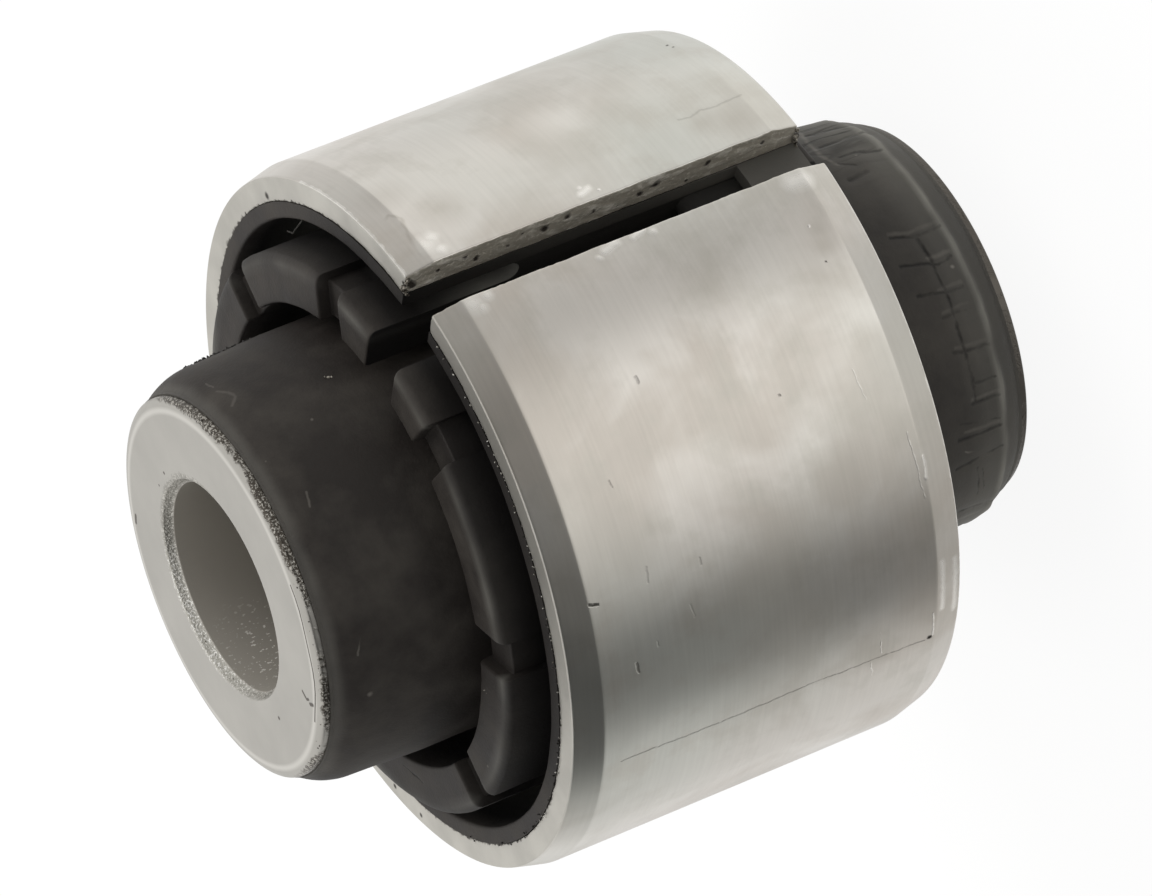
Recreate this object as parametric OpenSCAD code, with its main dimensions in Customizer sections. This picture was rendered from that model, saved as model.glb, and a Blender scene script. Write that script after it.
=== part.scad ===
// Rubber metal bush: a split steel sleeve pressed into a housing, a steel tube that takes
// the bolt, and one rubber moulding bonded between them.
// The axis stands along +Z. The origin is at the middle of the tube's lower end face.
// The split of the outer sleeve faces -Y.

/* [Outer sleeve] */
// Outside diameter of the sleeve, the size that the housing is bored for
sleeve_d = 42; // [36:0.5:56]
// Length of the sleeve
sleeve_l = 25; // [21:0.5:40]
// Wall of the sleeve
sleeve_wall = 1.9; // [1.2:0.1:3]
// How far each lead-in chamfer goes in towards the axis
lead_in = 0.45; // [0.2:0.05:1]
// Length of each lead-in chamfer along the axis
lead_l = 1.75; // [0.5:0.05:3]
// Width of the split down the sleeve's side
split_w = 2.75; // [1.5:0.05:5]

/* [Bolt tube] */
// Outside diameter of the tube
tube_d = 22.5; // [16:0.5:26]
// Length of the tube, the length of the whole bush
tube_l = 46; // [38:0.5:70]
// Diameter of the bore, for a 12 mm bolt
bore_d = 12.4; // [8:0.1:14.5]
// How far the chamfer at each bore mouth goes out from the bore wall
mouth_out = 0.4; // [0.1:0.05:0.8]
// Depth of the chamfer at each bore mouth
mouth_l = 0.5; // [0.1:0.05:1]
// How far the rounded outer edge of each end face reaches in
edge_in = 0.9; // [0.3:0.05:1.2]
// How far the rounded outer edge of each end face drops
edge_drop = 0.35; // [0.1:0.05:0.5]

/* [Rubber] */
// Thickness of the rubber lining on the inside of the sleeve
lining_t = 1; // [0.5:0.1:2]
// Thickness of the rubber on the tube, where the boss stands out of each end
boss_t = 1.15; // [0.8:0.05:2]
// How much the boss narrows towards its tip
boss_draft = 0.2; // [0:0.05:0.4]
// Length over which the boss narrows, its rounded tip left out
boss_draft_l = 4.5; // [1:0.5:5]
// Length of the rounded tip of the boss
boss_tip_l = 2.2; // [1:0.1:3]
// Thickness of the thin lip that the boss ends in
lip_t = 0.1; // [0.05:0.05:0.3]
// Length of the thin lip
lip_l = 0.2; // [0.1:0.1:0.6]
// Length of bare tube past each lip
bare_l = 0.6; // [0.4:0.1:2]
// Share of the room between boss and lining that each of the two grooves takes
groove_share = 0.245; // [0.15:0.005:0.35]
// Depth of the groove next to the boss, below the sleeve's end
inner_groove_l = 8.5; // [4:0.5:9]
// Depth of the groove next to the lining, below the sleeve's end
outer_groove_l = 7.5; // [3:0.5:9]

/* [Stop ring] */
// How far the ring stands past the sleeve's end, up to the floors of its notches
ring_rise = 1.1; // [0.2:0.1:2]
// Height of the pads between the notches
pad_h = 0.8; // [0.3:0.1:1.5]
// Width of the rounded outer edge of the pads
pad_edge_w = 0.65; // [0.1:0.05:0.8]
// Drop of the rounded outer edge of the pads
pad_edge_l = 0.45; // [0.1:0.05:0.8]
// Width of each notch
notch_w = 2.3; // [1:0.1:3]
// Angle from the split to the first notch on either side
first_notch_a = 21.5; // [18:0.5:30]
// Angle from one notch to the next
notch_pitch_a = 45; // [40:1:50]
// Notches on each side of the split
notch_count = 3; // [1:1:3]
// Depth of the channel that runs down the outside of the ring at each notch
channel_in = 0.5; // [0.1:0.05:0.5]

/* [Slit] */
// Length of whole rubber left behind the split, at the lower end
web_l = 3.8; // [2:0.1:8]

/* [Hidden] */
$fn = 96;
// Overshoot of a cutting tool past the face that it leaves through
over = 1;
// Steps in a rounded edge
steps = 6;

sleeve_r = sleeve_d / 2;
sleeve_in_r = sleeve_r - sleeve_wall;
tube_r = tube_d / 2;
bore_r = bore_d / 2;
mid_z = tube_l / 2;
// Heights from here on count from the middle plane, because both ends are alike
sleeve_end = sleeve_l / 2;
tube_end = tube_l / 2;
split_inner_z = web_l - sleeve_end;

lining_in_r = sleeve_in_r - lining_t;
boss_r = tube_r + boss_t;
tip_r = boss_r - boss_draft;
lip_r = tube_r + lip_t;
lip_end = tube_end - bare_l;
tip_end = lip_end - lip_l;
tip_start = tip_end - boss_tip_l;
draft_start = tip_start - boss_draft_l;
room = lining_in_r - boss_r;
groove_w = room * groove_share;
ring_in_r = boss_r + groove_w;
ring_out_r = lining_in_r - groove_w;
notch_floor = sleeve_end + ring_rise;
pad_top = notch_floor + pad_h;
pad_edge = min(pad_edge_w, (ring_out_r - ring_in_r) / 2);
inner_floor = sleeve_end - inner_groove_l;
outer_floor = sleeve_end - outer_groove_l;

// Turn from the split to each notch, the same on both sides
notch_turns = [
    for (side = [-1, 1], i = [0 : notch_count - 1]) side * (first_notch_a + i * notch_pitch_a)
];

// Radius of the arc that leaves the boss's side smoothly and drops to the lip
tip_drop = tip_r - lip_r;
tip_arc_r = (boss_tip_l * boss_tip_l + tip_drop * tip_drop) / (2 * tip_drop);

// Points of the boss's rounded tip, from the lip down to its side
function tip_points() = [
    for (i = [steps : -1 : 0])
        let (z = boss_tip_l * i / steps)
            [tip_r - tip_arc_r + sqrt(tip_arc_r * tip_arc_r - z * z), tip_start + z]
];

// Half round floor of a groove from one wall to the other
function groove_floor(from_r, to_r, z) = [
    for (i = [0 : steps])
        let (a = 180 * i / steps, mid = (from_r + to_r) / 2, half = (to_r - from_r) / 2)
            [mid - half * cos(a), z + half - half * sin(a)]
];

// Rounded corner of w by l that turns from an end face to an outer side
function outer_corner(r, z, w, l) = [
    for (i = [0 : steps])
        let (a = 90 * i / steps)
            [r - w + w * sin(a), z - l + l * cos(a)]
];

// The rubber's outline from the middle plane up, from the tube out to the sleeve
function rubber_half() = concat(
    [[tube_r, lip_end], [lip_r, lip_end]],
    tip_points(),
    [[boss_r, draft_start]],
    groove_floor(boss_r, ring_in_r, inner_floor),
    [[ring_in_r, pad_top]],
    outer_corner(ring_out_r, pad_top, pad_edge, pad_edge_l),
    groove_floor(ring_out_r, lining_in_r, outer_floor),
    [[lining_in_r, sleeve_end], [sleeve_in_r, sleeve_end]]
);

// The same outline turned over for the lower end
function turned_over(points) = [
    for (i = [len(points) - 1 : -1 : 0]) [points[i][0], -points[i][1]]
];

// Notch across the ring, from groove to groove, with its channel down the outside
module notch() {
    translate([-notch_w / 2, -ring_out_r - groove_w / 2, notch_floor])
        cube([notch_w, ring_out_r - ring_in_r + groove_w, pad_h + over]);
    translate([-notch_w / 2, -ring_out_r - groove_w / 2, outer_floor + groove_w])
        cube([notch_w, channel_in + groove_w / 2, pad_top - outer_floor - groove_w + over]);
}

// The notches of one end, and the wide one in line with the split
module notches() {
    for (turn = notch_turns)
        rotate([0, 0, turn])
            notch();
    translate([-split_w / 2, -ring_out_r - groove_w / 2, notch_floor])
        cube([split_w, ring_out_r - ring_in_r + groove_w, pad_h + over]);
}

// Slit behind the split: open at the upper end, closed by a web at the lower end
module slit() {
    translate([-split_w / 2, -sleeve_r, split_inner_z])
        cube([split_w, sleeve_r - ring_in_r + groove_w / 2, tube_l]);
}

module outer_sleeve() {
    color("silver")
        translate([0, 0, mid_z])
            difference() {
                rotate_extrude()
                    polygon([
                        [sleeve_in_r, -sleeve_end],
                        [sleeve_r - lead_in, -sleeve_end],
                        [sleeve_r, -sleeve_end + lead_l],
                        [sleeve_r, sleeve_end - lead_l],
                        [sleeve_r - lead_in, sleeve_end],
                        [sleeve_in_r, sleeve_end]
                    ]);
                translate([-split_w / 2, -sleeve_r - over, -sleeve_end - over])
                    cube([split_w, sleeve_r, sleeve_l + 2 * over]);
            }
}

module rubber_body() {
    color("dimgray")
        translate([0, 0, mid_z])
            difference() {
                rotate_extrude()
                    polygon(concat(rubber_half(), turned_over(rubber_half())));
                notches();
                mirror([0, 0, 1])
                    notches();
                slit();
            }
}

module bolt_tube() {
    color("lightgray")
        translate([0, 0, mid_z])
            rotate_extrude()
                polygon(concat(
                    [[bore_r, tube_end - mouth_l], [bore_r + mouth_out, tube_end]],
                    outer_corner(tube_r, tube_end, edge_in, edge_drop),
                    turned_over(outer_corner(tube_r, tube_end, edge_in, edge_drop)),
                    [[bore_r + mouth_out, -tube_end], [bore_r, mouth_l - tube_end]]
                ));
}

outer_sleeve();
rubber_body();
bolt_tube();
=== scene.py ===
"""Rubber metal bush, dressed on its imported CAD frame.

A split steel sleeve, a thick steel bolt tube and one rubber moulding that is bonded between them.
Sizes are in millimetres in the classes, and every mesh is in metres in the CAD frame: the axis
stands along +Z, the lower tube face is at zero and the split of the sleeve faces -Y.
"""

import logging
import math
from abc import ABC, abstractmethod
from collections.abc import Iterable, Sequence
from dataclasses import dataclass
from enum import Enum

import bpy
import numpy as np
from mathutils import Euler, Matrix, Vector, noise


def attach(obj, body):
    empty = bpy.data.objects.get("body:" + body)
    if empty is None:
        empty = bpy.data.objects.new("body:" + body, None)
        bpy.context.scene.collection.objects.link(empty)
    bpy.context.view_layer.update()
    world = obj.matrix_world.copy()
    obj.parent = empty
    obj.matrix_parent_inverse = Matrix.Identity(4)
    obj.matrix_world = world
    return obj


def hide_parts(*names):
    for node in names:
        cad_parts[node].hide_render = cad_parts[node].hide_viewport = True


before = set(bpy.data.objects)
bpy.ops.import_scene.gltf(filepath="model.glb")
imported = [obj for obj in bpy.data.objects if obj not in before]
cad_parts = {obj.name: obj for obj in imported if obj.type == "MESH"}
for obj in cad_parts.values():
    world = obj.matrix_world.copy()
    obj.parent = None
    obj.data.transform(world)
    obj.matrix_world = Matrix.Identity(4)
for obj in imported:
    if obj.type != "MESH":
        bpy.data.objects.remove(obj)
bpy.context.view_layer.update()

LOG = logging.getLogger("bush")
# A millimetre in metres, and the height of the bush's middle plane in millimetres.
MM = 0.001
MIDDLE = 23.0
# The record's one body, which every piece rides.
BODY = "root"

Point = tuple[float, float, float]
Array = np.ndarray
Tree = bpy.types.NodeTree
Socket = bpy.types.NodeSocket


class End(Enum):
    """The two ends of the bush, by the way that each faces along the axis."""

    UPPER = 1.0
    LOWER = -1.0


class Cut(Enum):
    """What is cut into the rubber along one spoke of the moulding."""

    NOTHING = 0
    NOTCH = 1
    SLIT = 2


class Leaving(Enum):
    """The way in which a rounded corner of an outline starts."""

    OUTWARDS = 0
    ALONG = 1


# Colours, nodes and marks


def srgb(code: str) -> tuple[float, float, float, float]:
    """Turns a colour as the eye names it into the linear colour that a shader takes.

    Args:
        code: An sRGB colour such as "#b4b0a8".

    Returns:
        Linear red, green and blue, with alpha 1.
    """
    parts = [int(code[i : i + 2], 16) / 255 for i in (1, 3, 5)]
    linear = [p / 12.92 if p <= 0.04045 else ((p + 0.055) / 1.055) ** 2.4 for p in parts]
    return (linear[0], linear[1], linear[2], 1.0)


def add_node(
    tree: Tree,
    kind: str,
    sockets: tuple[object, ...] | dict[str | int, object] = (),
    out: str | None = None,
    **settings: object,
) -> Socket | None:
    """Adds one node with its settings, and gives its inputs their values and links.

    Args:
        tree: The tree that the node goes into.
        kind: The node's type name, which may leave out ShaderNode at its start.
        sockets: Values, sRGB colours, and sockets to link. A tuple fills the inputs in use from the
            first on, and a dict goes by an input's name or number.
        out: Name of the output that is wanted, where it isn't the first in use.
        **settings: The node's own properties, set before its inputs.

    Returns:
        The output that is wanted, or None where the node has no output.
    """
    node = tree.nodes.new(kind if "Node" in kind else "ShaderNode" + kind)
    for name, value in settings.items():
        setattr(node, name, value)
    if isinstance(sockets, dict):
        given = [(node.inputs[key], value) for key, value in sockets.items()]
    else:
        given = list(zip([socket for socket in node.inputs if socket.enabled], sockets))
    for socket, value in given:
        if isinstance(value, Socket):
            tree.links.new(value, socket)
        else:
            socket.default_value = srgb(value) if isinstance(value, str) else value
    in_use = [socket for socket in node.outputs if socket.enabled]
    if out:
        return node.outputs[out]
    return in_use[0] if in_use else None


def shaken(tree: Tree, place: Socket, colour: Socket, reach: float) -> Socket:
    """Moves each place at random, so that what is drawn there has a ragged outline.

    Args:
        tree: The material's tree.
        place: Object coordinates.
        colour: A noise's colour, which moves the places.
        reach: Width that a place is moved within, in millimetres.

    Returns:
        The moved coordinates.
    """
    moved = add_node(
        tree, "VectorMath", (colour, (reach * MM,) * 3, place), operation="MULTIPLY_ADD"
    )
    return add_node(tree, "VectorMath", (moved, (reach / 2 * MM,) * 3), operation="SUBTRACT")


def from_axis(tree: Tree, place: Socket) -> tuple[Socket, Socket]:
    """Gives the level part of a place, and its distance from the axis."""
    flat = add_node(tree, "VectorMath", (place, (1.0, 1.0, 0.0)), operation="MULTIPLY")
    return flat, add_node(tree, "VectorMath", (flat,), operation="LENGTH")


def seen_directly(tree: Tree) -> Socket:
    """Tells the rays of the camera, of reflections and of glass from the ones that carry light.

    Args:
        tree: The tree of the paper or of the world.

    Returns:
        1 for a ray that shows a thing to the eye, 0 for one that lights it.
    """
    rays = add_node(tree, "LightPath").node.outputs
    seen = add_node(
        tree, "Math", (rays["Is Camera Ray"], rays["Is Glossy Ray"]), operation="MAXIMUM"
    )
    return add_node(tree, "Math", (seen, rays["Is Transmission Ray"]), operation="MAXIMUM")


class Finish(ABC):
    """A surface finish that can give its material."""

    name: str

    def material(self) -> bpy.types.Material:
        """Builds the finish's node material.

        Returns:
            The new material.
        """
        material = bpy.data.materials.new(self.name)
        material.use_nodes = True
        tree = material.node_tree
        tree.nodes.clear()
        add_node(tree, "OutputMaterial", (self.shader(tree),))
        return material

    @abstractmethod
    def shader(self, tree: Tree) -> Socket:
        """Builds the nodes of the finish.

        Args:
            tree: The material's tree.

        Returns:
            The shader that they end in.
        """


@dataclass(frozen=True)
class Mark:
    """A pit, a rubbed spot, a scratch or a crease: a short line with a width, in millimetres."""

    start: Point
    end: Point
    radius: float
    strength: float = 1.0


def at(radius: float, azimuth: float, height: float) -> Point:
    """Gives a place by its distance from the axis, its direction from +X and its height."""
    turn = math.radians(azimuth)
    return (radius * math.cos(turn), radius * math.sin(turn), height)


def spot(place: Point, radius: float, strength: float = 1.0) -> Mark:
    """Gives a round mark."""
    return Mark(place, place, radius, strength)


def line(width: float, *places: Point, strength: float = 1.0) -> list[Mark]:
    """Gives the marks of a line that runs straight from place to place."""
    return [Mark(a, b, width, strength) for a, b in zip(places, places[1:])]


def round_line(
    radius: float, width: float, *stops: tuple[float, float], strength: float = 1.0
) -> list[Mark]:
    """Gives the marks of a line that is drawn over a round side.

    Args:
        radius: Radius of the side.
        width: Half of the line's width.
        *stops: Direction and height of each place that the line goes through.
        strength: How strongly the marks show, from 0 to 1.

    Returns:
        Marks short enough to stay on the side.
    """
    places = []
    for (a0, z0), (a1, z1) in zip(stops, stops[1:]):
        parts = max(1, math.ceil(abs(a1 - a0) / 8))
        shares = [i / parts for i in range(parts)]
        places += [at(radius, a0 + (a1 - a0) * s, z0 + (z1 - z0) * s) for s in shares]
    places.append(at(radius, *stops[-1]))
    return line(width, *places, strength=strength)


def marks_mask(tree: Tree, place: Socket, marks: Sequence[Mark], soft: float) -> Socket:
    """Draws marks as one mask, 1 in each mark and 0 outside.

    Args:
        tree: The material's tree.
        place: Object coordinates, already made uneven where the outline should be ragged.
        marks: The marks.
        soft: Share of each radius over which the mask fades.

    Returns:
        The mask's socket.
    """
    mask = None
    for mark in marks:
        start, way = Vector(mark.start) * MM, (Vector(mark.end) - Vector(mark.start)) * MM
        from_start = add_node(tree, "VectorMath", (place, tuple(start)), operation="SUBTRACT")
        nearest = (0.0, 0.0, 0.0)
        if way.length > 0:
            along = add_node(tree, "VectorMath", (
                from_start, tuple(way / way.length_squared),
            ), operation="DOT_PRODUCT")
            along = add_node(tree, "Clamp", (along,))
            nearest = add_node(tree, "VectorMath", (tuple(way), along), operation="SCALE")
        far = add_node(tree, "VectorMath", (from_start, nearest), operation="DISTANCE")
        inside = add_node(tree, "MapRange", (
            far, mark.radius * (1 - soft) * MM, mark.radius * MM, mark.strength, 0.0,
        ))
        if mask is None:
            mask = inside
        else:
            mask = add_node(tree, "Math", (mask, inside), operation="MAXIMUM")
    return mask


# Marks read off the object

# The one long seam down the sleeve, pits and short dark dashes round it.
SLEEVE_PITS: tuple[Mark, ...] = (
    *round_line(21, 0.07, (-174.8, 32.6), (-175.4, 26), (-175.2, 20), (-176, 12.9), strength=0.24),
    spot(at(21, -175.9, 12.6), 0.17),
    *round_line(21, 0.13, (-144.5, 33.7), (-144.9, 33.2), strength=0.85),
    *round_line(21, 0.12, (-156.9, 31.5), (-158.4, 31.4), strength=0.6),
    *round_line(21, 0.14, (-115.2, 26.9), (-116.0, 26.85), strength=0.22),
    spot(at(21, -125.6, 19.4), 0.12, 0.3),
    *round_line(21, 0.09, (-128, 30.6), (-129, 30.55), strength=0.16),
    *round_line(21, 0.08, (-142.3, 29.9), (-144.6, 30.0), strength=0.12),
    *round_line(21, 0.08, (-150.8, 27.8), (-152.9, 27.6), strength=0.11),
    *round_line(21, 0.08, (-154.6, 30.1), (-155.4, 30.1), strength=0.18),
    *round_line(21, 0.09, (-144.2, 26.7), (-145.2, 26.7), strength=0.13),
    spot(at(21, -109.6, 13.7), 0.08, 0.6),
    spot(at(21, -56.8, 12.6), 0.12, 0.8),
    spot(at(21, -58.2, 12.5), 0.1, 0.8),
    *round_line(21, 0.1, (-77.2, 16.3), (-77.6, 15.6), (-77, 14.9), (-77.4, 14.2), (-77, 12.2),
                strength=0.13),
)
# Bare bright spots by the split, white scratches close to the lower lead-in, and thin bright lines
# along both end edges and on the lower lead-in, which are painted highlights.
SLEEVE_RUBBED_AND_HIGHLIGHTS: tuple[Mark, ...] = (
    spot(at(21, -95.4, 33.3), 0.95, 0.7),
    spot(at(21, -96.6, 32.9), 0.5, 0.7),
    spot(at(21, -95.0, 32.3), 0.5, 0.7),
    spot(at(21, -82.4, 33.5), 0.95, 0.65),
    spot(at(21, -81.4, 33.0), 0.6, 0.7),
    spot(at(21, -84.2, 32.9), 0.5, 0.7),
    *round_line(20.56, 0.13, (-52, 35.42), (-85.6, 35.42), strength=0.9),
    *round_line(20.56, 0.09, (-95, 10.56), (-200, 10.56), strength=0.7),
    *round_line(21, 0.85, (-95.9, 13.1), (-96.1, 12.4), strength=0.8),
    *round_line(21, 0.34, (-84.2, 24.1), (-83.6, 23.5), strength=0.8),
    spot(at(21, -83.0, 23.9), 0.25, 0.7),
    *round_line(21, 0.4, (-95.2, 24.9), (-94.6, 24.1), strength=0.8),
    spot(at(21, -95.9, 25.4), 0.3, 0.7),
    *round_line(21, 0.3, (-94.8, 23.0), (-94.2, 22.3), strength=0.85),
    spot(at(21, -95.0, 21.8), 0.35, 0.8),
    spot(at(21, -84.6, 23.0), 0.14),
    *round_line(21, 0.1, (-170.6, 12.5), (-175.6, 12.4), strength=0.8),
    *round_line(21, 0.06, (-170.1, 16.0), (-174.8, 15.8), strength=0.7),
    *round_line(21, 0.07, (-176.4, 16.4), (-179.6, 16.2), strength=0.6),
    *round_line(21, 0.16, (-142.5, 12.14), (-146, 12.24), strength=0.8),
    *round_line(20.91, 0.3, (-161.3, 11.9), (-170.5, 11.85), strength=0.8),
    *round_line(20.66, 0.3, (-162.2, 10.94), (-172.5, 10.9), strength=0.8),
    spot(at(21, -66.65, 22), 2.6, 0.3),
    *round_line(21, 0.06, (-138, 12.8), (-149, 12.6), strength=0.5),
    *round_line(21, 0.06, (-126, 14.8), (-131, 14.6), strength=0.4),
    spot(at(21, -103.5, 13.6), 0.12),
)
# Dull smears on the sleeve's upper side, and the thin rings that dried drops left.
SLEEVE_STAINS: tuple[Mark, ...] = (
    spot(at(21, -81.5, 13.6), 1.7, 0.7),
    spot(at(21, -79.6, 15.2), 1.4, 0.6),
    *round_line(21, 0.16, (-74.6, 34.6), (-73.6, 34.0), (-75.5, 33.6), (-80, 34.0), (-84, 34.2),
                strength=0.8),
    *round_line(21, 0.16, (-74.6, 34.6), (-77, 34.9), (-82, 34.9), (-85, 34.9), strength=0.7),
    spot(at(21, -104.5, 13.2), 0.9, 0.6),
    spot(at(21, -107.5, 13.4), 1.2, 0.7),
    spot(at(21, -69, 33.2), 1.8, 0.5),
    spot(at(21, -106, 20.5), 3.0, 0.5),
    spot(at(21, -112, 14.5), 2.8, 0.5),
    spot(at(21, -76.6, 31.4), 2.0, 0.7),
    spot(at(21, -150, 24), 3.0, 0.35),
    spot(at(21, -140, 17), 2.4, 0.3),
)
# Nicks, the scratch and the turned groove in the upper face of the tube.
FACE_NICKS: tuple[Mark, ...] = (
    spot(at(7.34, -20.3, 46), 0.13),
    spot(at(7.3, -8, 46), 0.09),
    spot(at(7.86, 156.7, 46), 0.15),
    *line(0.12, at(9.25, -169.2, 46), at(9.7, -170.6, 46), at(9.9, -169.6, 46)),
    *line(0.16, at(10.1, -170.8, 46), at(10.35, -169.8, 46)),
    *line(0.13, at(10.1, 24.2, 46), at(10.25, 27.4, 45.98)),
    *line(0.06, *[at(10.64 + 0.05 * math.sin(i), -128 - 4 * i, 45.99) for i in range(13)]),
)
# Creases of the lower boss: a long one round it and short ones along it.
BOSS_CREASES: tuple[Mark, ...] = (
    *round_line(12.34, 0.17, (-102.8, 4.0), (-110, 3.85), (-119.8, 3.82), (-134, 3.95),
                (-151, 3.9)),
    *round_line(12.31, 0.16, (-109.3, 5.75), (-110.2, 4.6), (-112, 3.6), (-111.4, 2.6),
                strength=0.85),
    *round_line(12.31, 0.16, (-118, 5.6), (-118.8, 4.7), (-119.8, 3.85), (-119.8, 2.7),
                strength=0.85),
    *round_line(12.31, 0.17, (-100.8, 5.45), (-102.8, 4.05), (-102.6, 2.4), strength=0.75),
    *round_line(12.31, 0.15, (-125.7, 4.6), (-125.8, 2.8), strength=0.6),
    *round_line(12.31, 0.17, (-135.6, 4.6), (-136.4, 3.3), (-136.9, 2.3), strength=0.7),
    *round_line(12.3, 0.15, (-145.4, 3.8), (-145.7, 2.5), strength=0.6),
    *round_line(12.3, 0.17, (-151.0, 4.1), (-151.2, 2.4), strength=0.8),
    *round_line(12.34, 0.18, (-169.2, 5.5), (-168.4, 3.9), (-167.3, 2.4), strength=0.85),
    *round_line(12.31, 0.18, (-159.8, 5.3), (-160.6, 3.8), (-160.2, 2.5), strength=0.75),
    *round_line(12.34, 0.12, (-171.8, 4.0), (-183.5, 3.65), strength=0.75),
    *round_line(12.34, 0.1, (-172.7, 3.65), (-184.5, 3.3), strength=0.6),
    *round_line(12.34, 0.2, (-190.1, 4.5), (-191.2, 3.4), (-193.1, 2.0), strength=0.9),
    *round_line(12.34, 0.12, (-155.1, 5.1), (-157, 3.7), (-158, 2.5), strength=0.5),
    *round_line(12.3, 0.24, (-69.1, 4.6), (-69.3, 3.7), (-71.2, 3.1), (-72.5, 2.4), strength=0.8),
    *round_line(12.3, 0.22, (-61.4, 4.9), (-61.2, 3.7), (-60.9, 2.8), (-62.3, 1.8), strength=0.75),
    *round_line(12.3, 0.22, (-52.2, 4.6), (-52.6, 3.7), (-54.2, 2.8), (-54.4, 2.2), strength=0.75),
    *round_line(12.3, 0.16, (-71.8, 5.1), (-75.1, 4.3), strength=0.5),
    *round_line(12.3, 0.24, (-79.5, 5.3), (-78.5, 4.1), strength=0.6),
)
# Pits in the split face on the +X side, and black tears where it was sheared.
SPLIT_PITS: tuple[Mark, ...] = (
    *[spot(at(radius, -86, height), size) for radius, height, size in (
        (20.1, 26.7, 0.34), (20.35, 25.3, 0.28), (20.2, 19.6, 0.38), (19.9, 20.6, 0.24),
        (20.3, 16.3, 0.28), (20.2, 12.7, 0.2), (19.8, 31.0, 0.26), (20.25, 31.7, 0.2),
        (20.0, 33.4, 0.18), (19.8, 29.0, 0.18), (19.9, 23.6, 0.2), (19.6, 22.0, 0.15),
        (20.5, 28.1, 0.14), (19.5, 17.6, 0.16),
    )],
    *line(0.3, at(19.6, -86, 34.9), at(20.1, -86, 35.3)),
)
# Chips out of the sleeve's upper end face, and a band over part of it that is painted darker, as a
# painted reflection of the dark boss.
EDGE_CHIPS: tuple[Mark, ...] = (
    spot(at(19.5, -37.4, 35.5), 0.3),
    spot(at(19.83, 103.8, 35.5), 0.22),
    spot(at(19.97, 112.4, 35.5), 0.2),
    spot(at(18.9, -11.6, 35.5), 0.5),
    *line(0.2, at(19.95, -85.6, 35.5), at(20.05, -86.6, 35.5)),
)
EDGE_PAINTED_REFLECTION: tuple[Mark, ...] = (
    *round_line(19.85, 1.4, (-96, 35.5), (-136, 35.5), strength=0.85),
    *round_line(19.85, 1.4, (-136, 35.5), (-152, 35.5), strength=0.45),
)
# The crack across one pad of the upper stop ring.
PAD_CRACKS: tuple[Mark, ...] = (
    *line(0.07, at(14.4, 122.2, 37.4), at(14.6, 126.8, 37.4)),
    *line(0.13, at(14.6, 126.8, 37.4), at(14.75, 129, 37.4), at(14.95, 131.1, 37.4)),
)
# Pale scuffs on the upper boss, where the bush was handled, and pale lines on the lower boss, most
# of them beside its creases, which are painted highlights on their lit edges.
BOSS_SCUFFS_AND_HIGHLIGHTS: tuple[Mark, ...] = (
    *line(0.13, at(11.98, -63.4, 44.2), at(12.09, -66.5, 43.8), at(12.12, -69.7, 43.7),
          at(11.98, -72, 44.2), strength=0.12),
    *line(0.1, at(11.98, -57, 44.2), at(12.01, -60.4, 44.1), strength=0.4),
    *line(0.09, at(12.15, -106.3, 43.5), at(12.12, -110.2, 43.7), strength=0.22),
    *line(0.08, at(12.1, -151.8, 43.8), at(12.15, -146.8, 43.4), strength=0.22),
    spot(at(12.16, -164.9, 43.4), 0.2, 0.3),
    spot(at(12.27, -88, 41.1), 0.12, 0.3),
    *round_line(12.38, 0.2, (-48.2, 4.6), (-57.7, 5.2), (-66.3, 5.5), (-72.1, 5.2), strength=0.3),
    *round_line(12.38, 0.12, (-164.3, 4.9), (-165.6, 4.2), strength=0.5),
    *round_line(12.31, 0.17, (-99.5, 5.4), (-101.3, 4.1), (-101.1, 2.5), strength=0.17),
    *round_line(12.31, 0.17, (-109.6, 4.0), (-109.9, 2.6), strength=0.24),
    *round_line(12.31, 0.16, (-118.5, 4.2), (-118.5, 2.7), strength=0.2),
    *round_line(12.31, 0.16, (-124.4, 4.5), (-124.5, 2.8), strength=0.14),
    *round_line(12.31, 0.17, (-134.3, 4.4), (-135.4, 2.5), strength=0.16),
    *round_line(12.31, 0.19, (-149.6, 4.1), (-149.8, 2.4), strength=0.24),
    *round_line(12.31, 0.18, (-158.3, 4.8), (-158.9, 2.6), strength=0.2),
    spot(at(12.3, -114.0, 2.82), 0.17, 0.85),
    *round_line(12.38, 0.22, (-195.4, 4.6), (-196.4, 3.4), (-197.6, 2.2), strength=0.5),
    spot(at(15.9, 164, 37.0), 0.35, 0.35),
)


# Finishes


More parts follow.
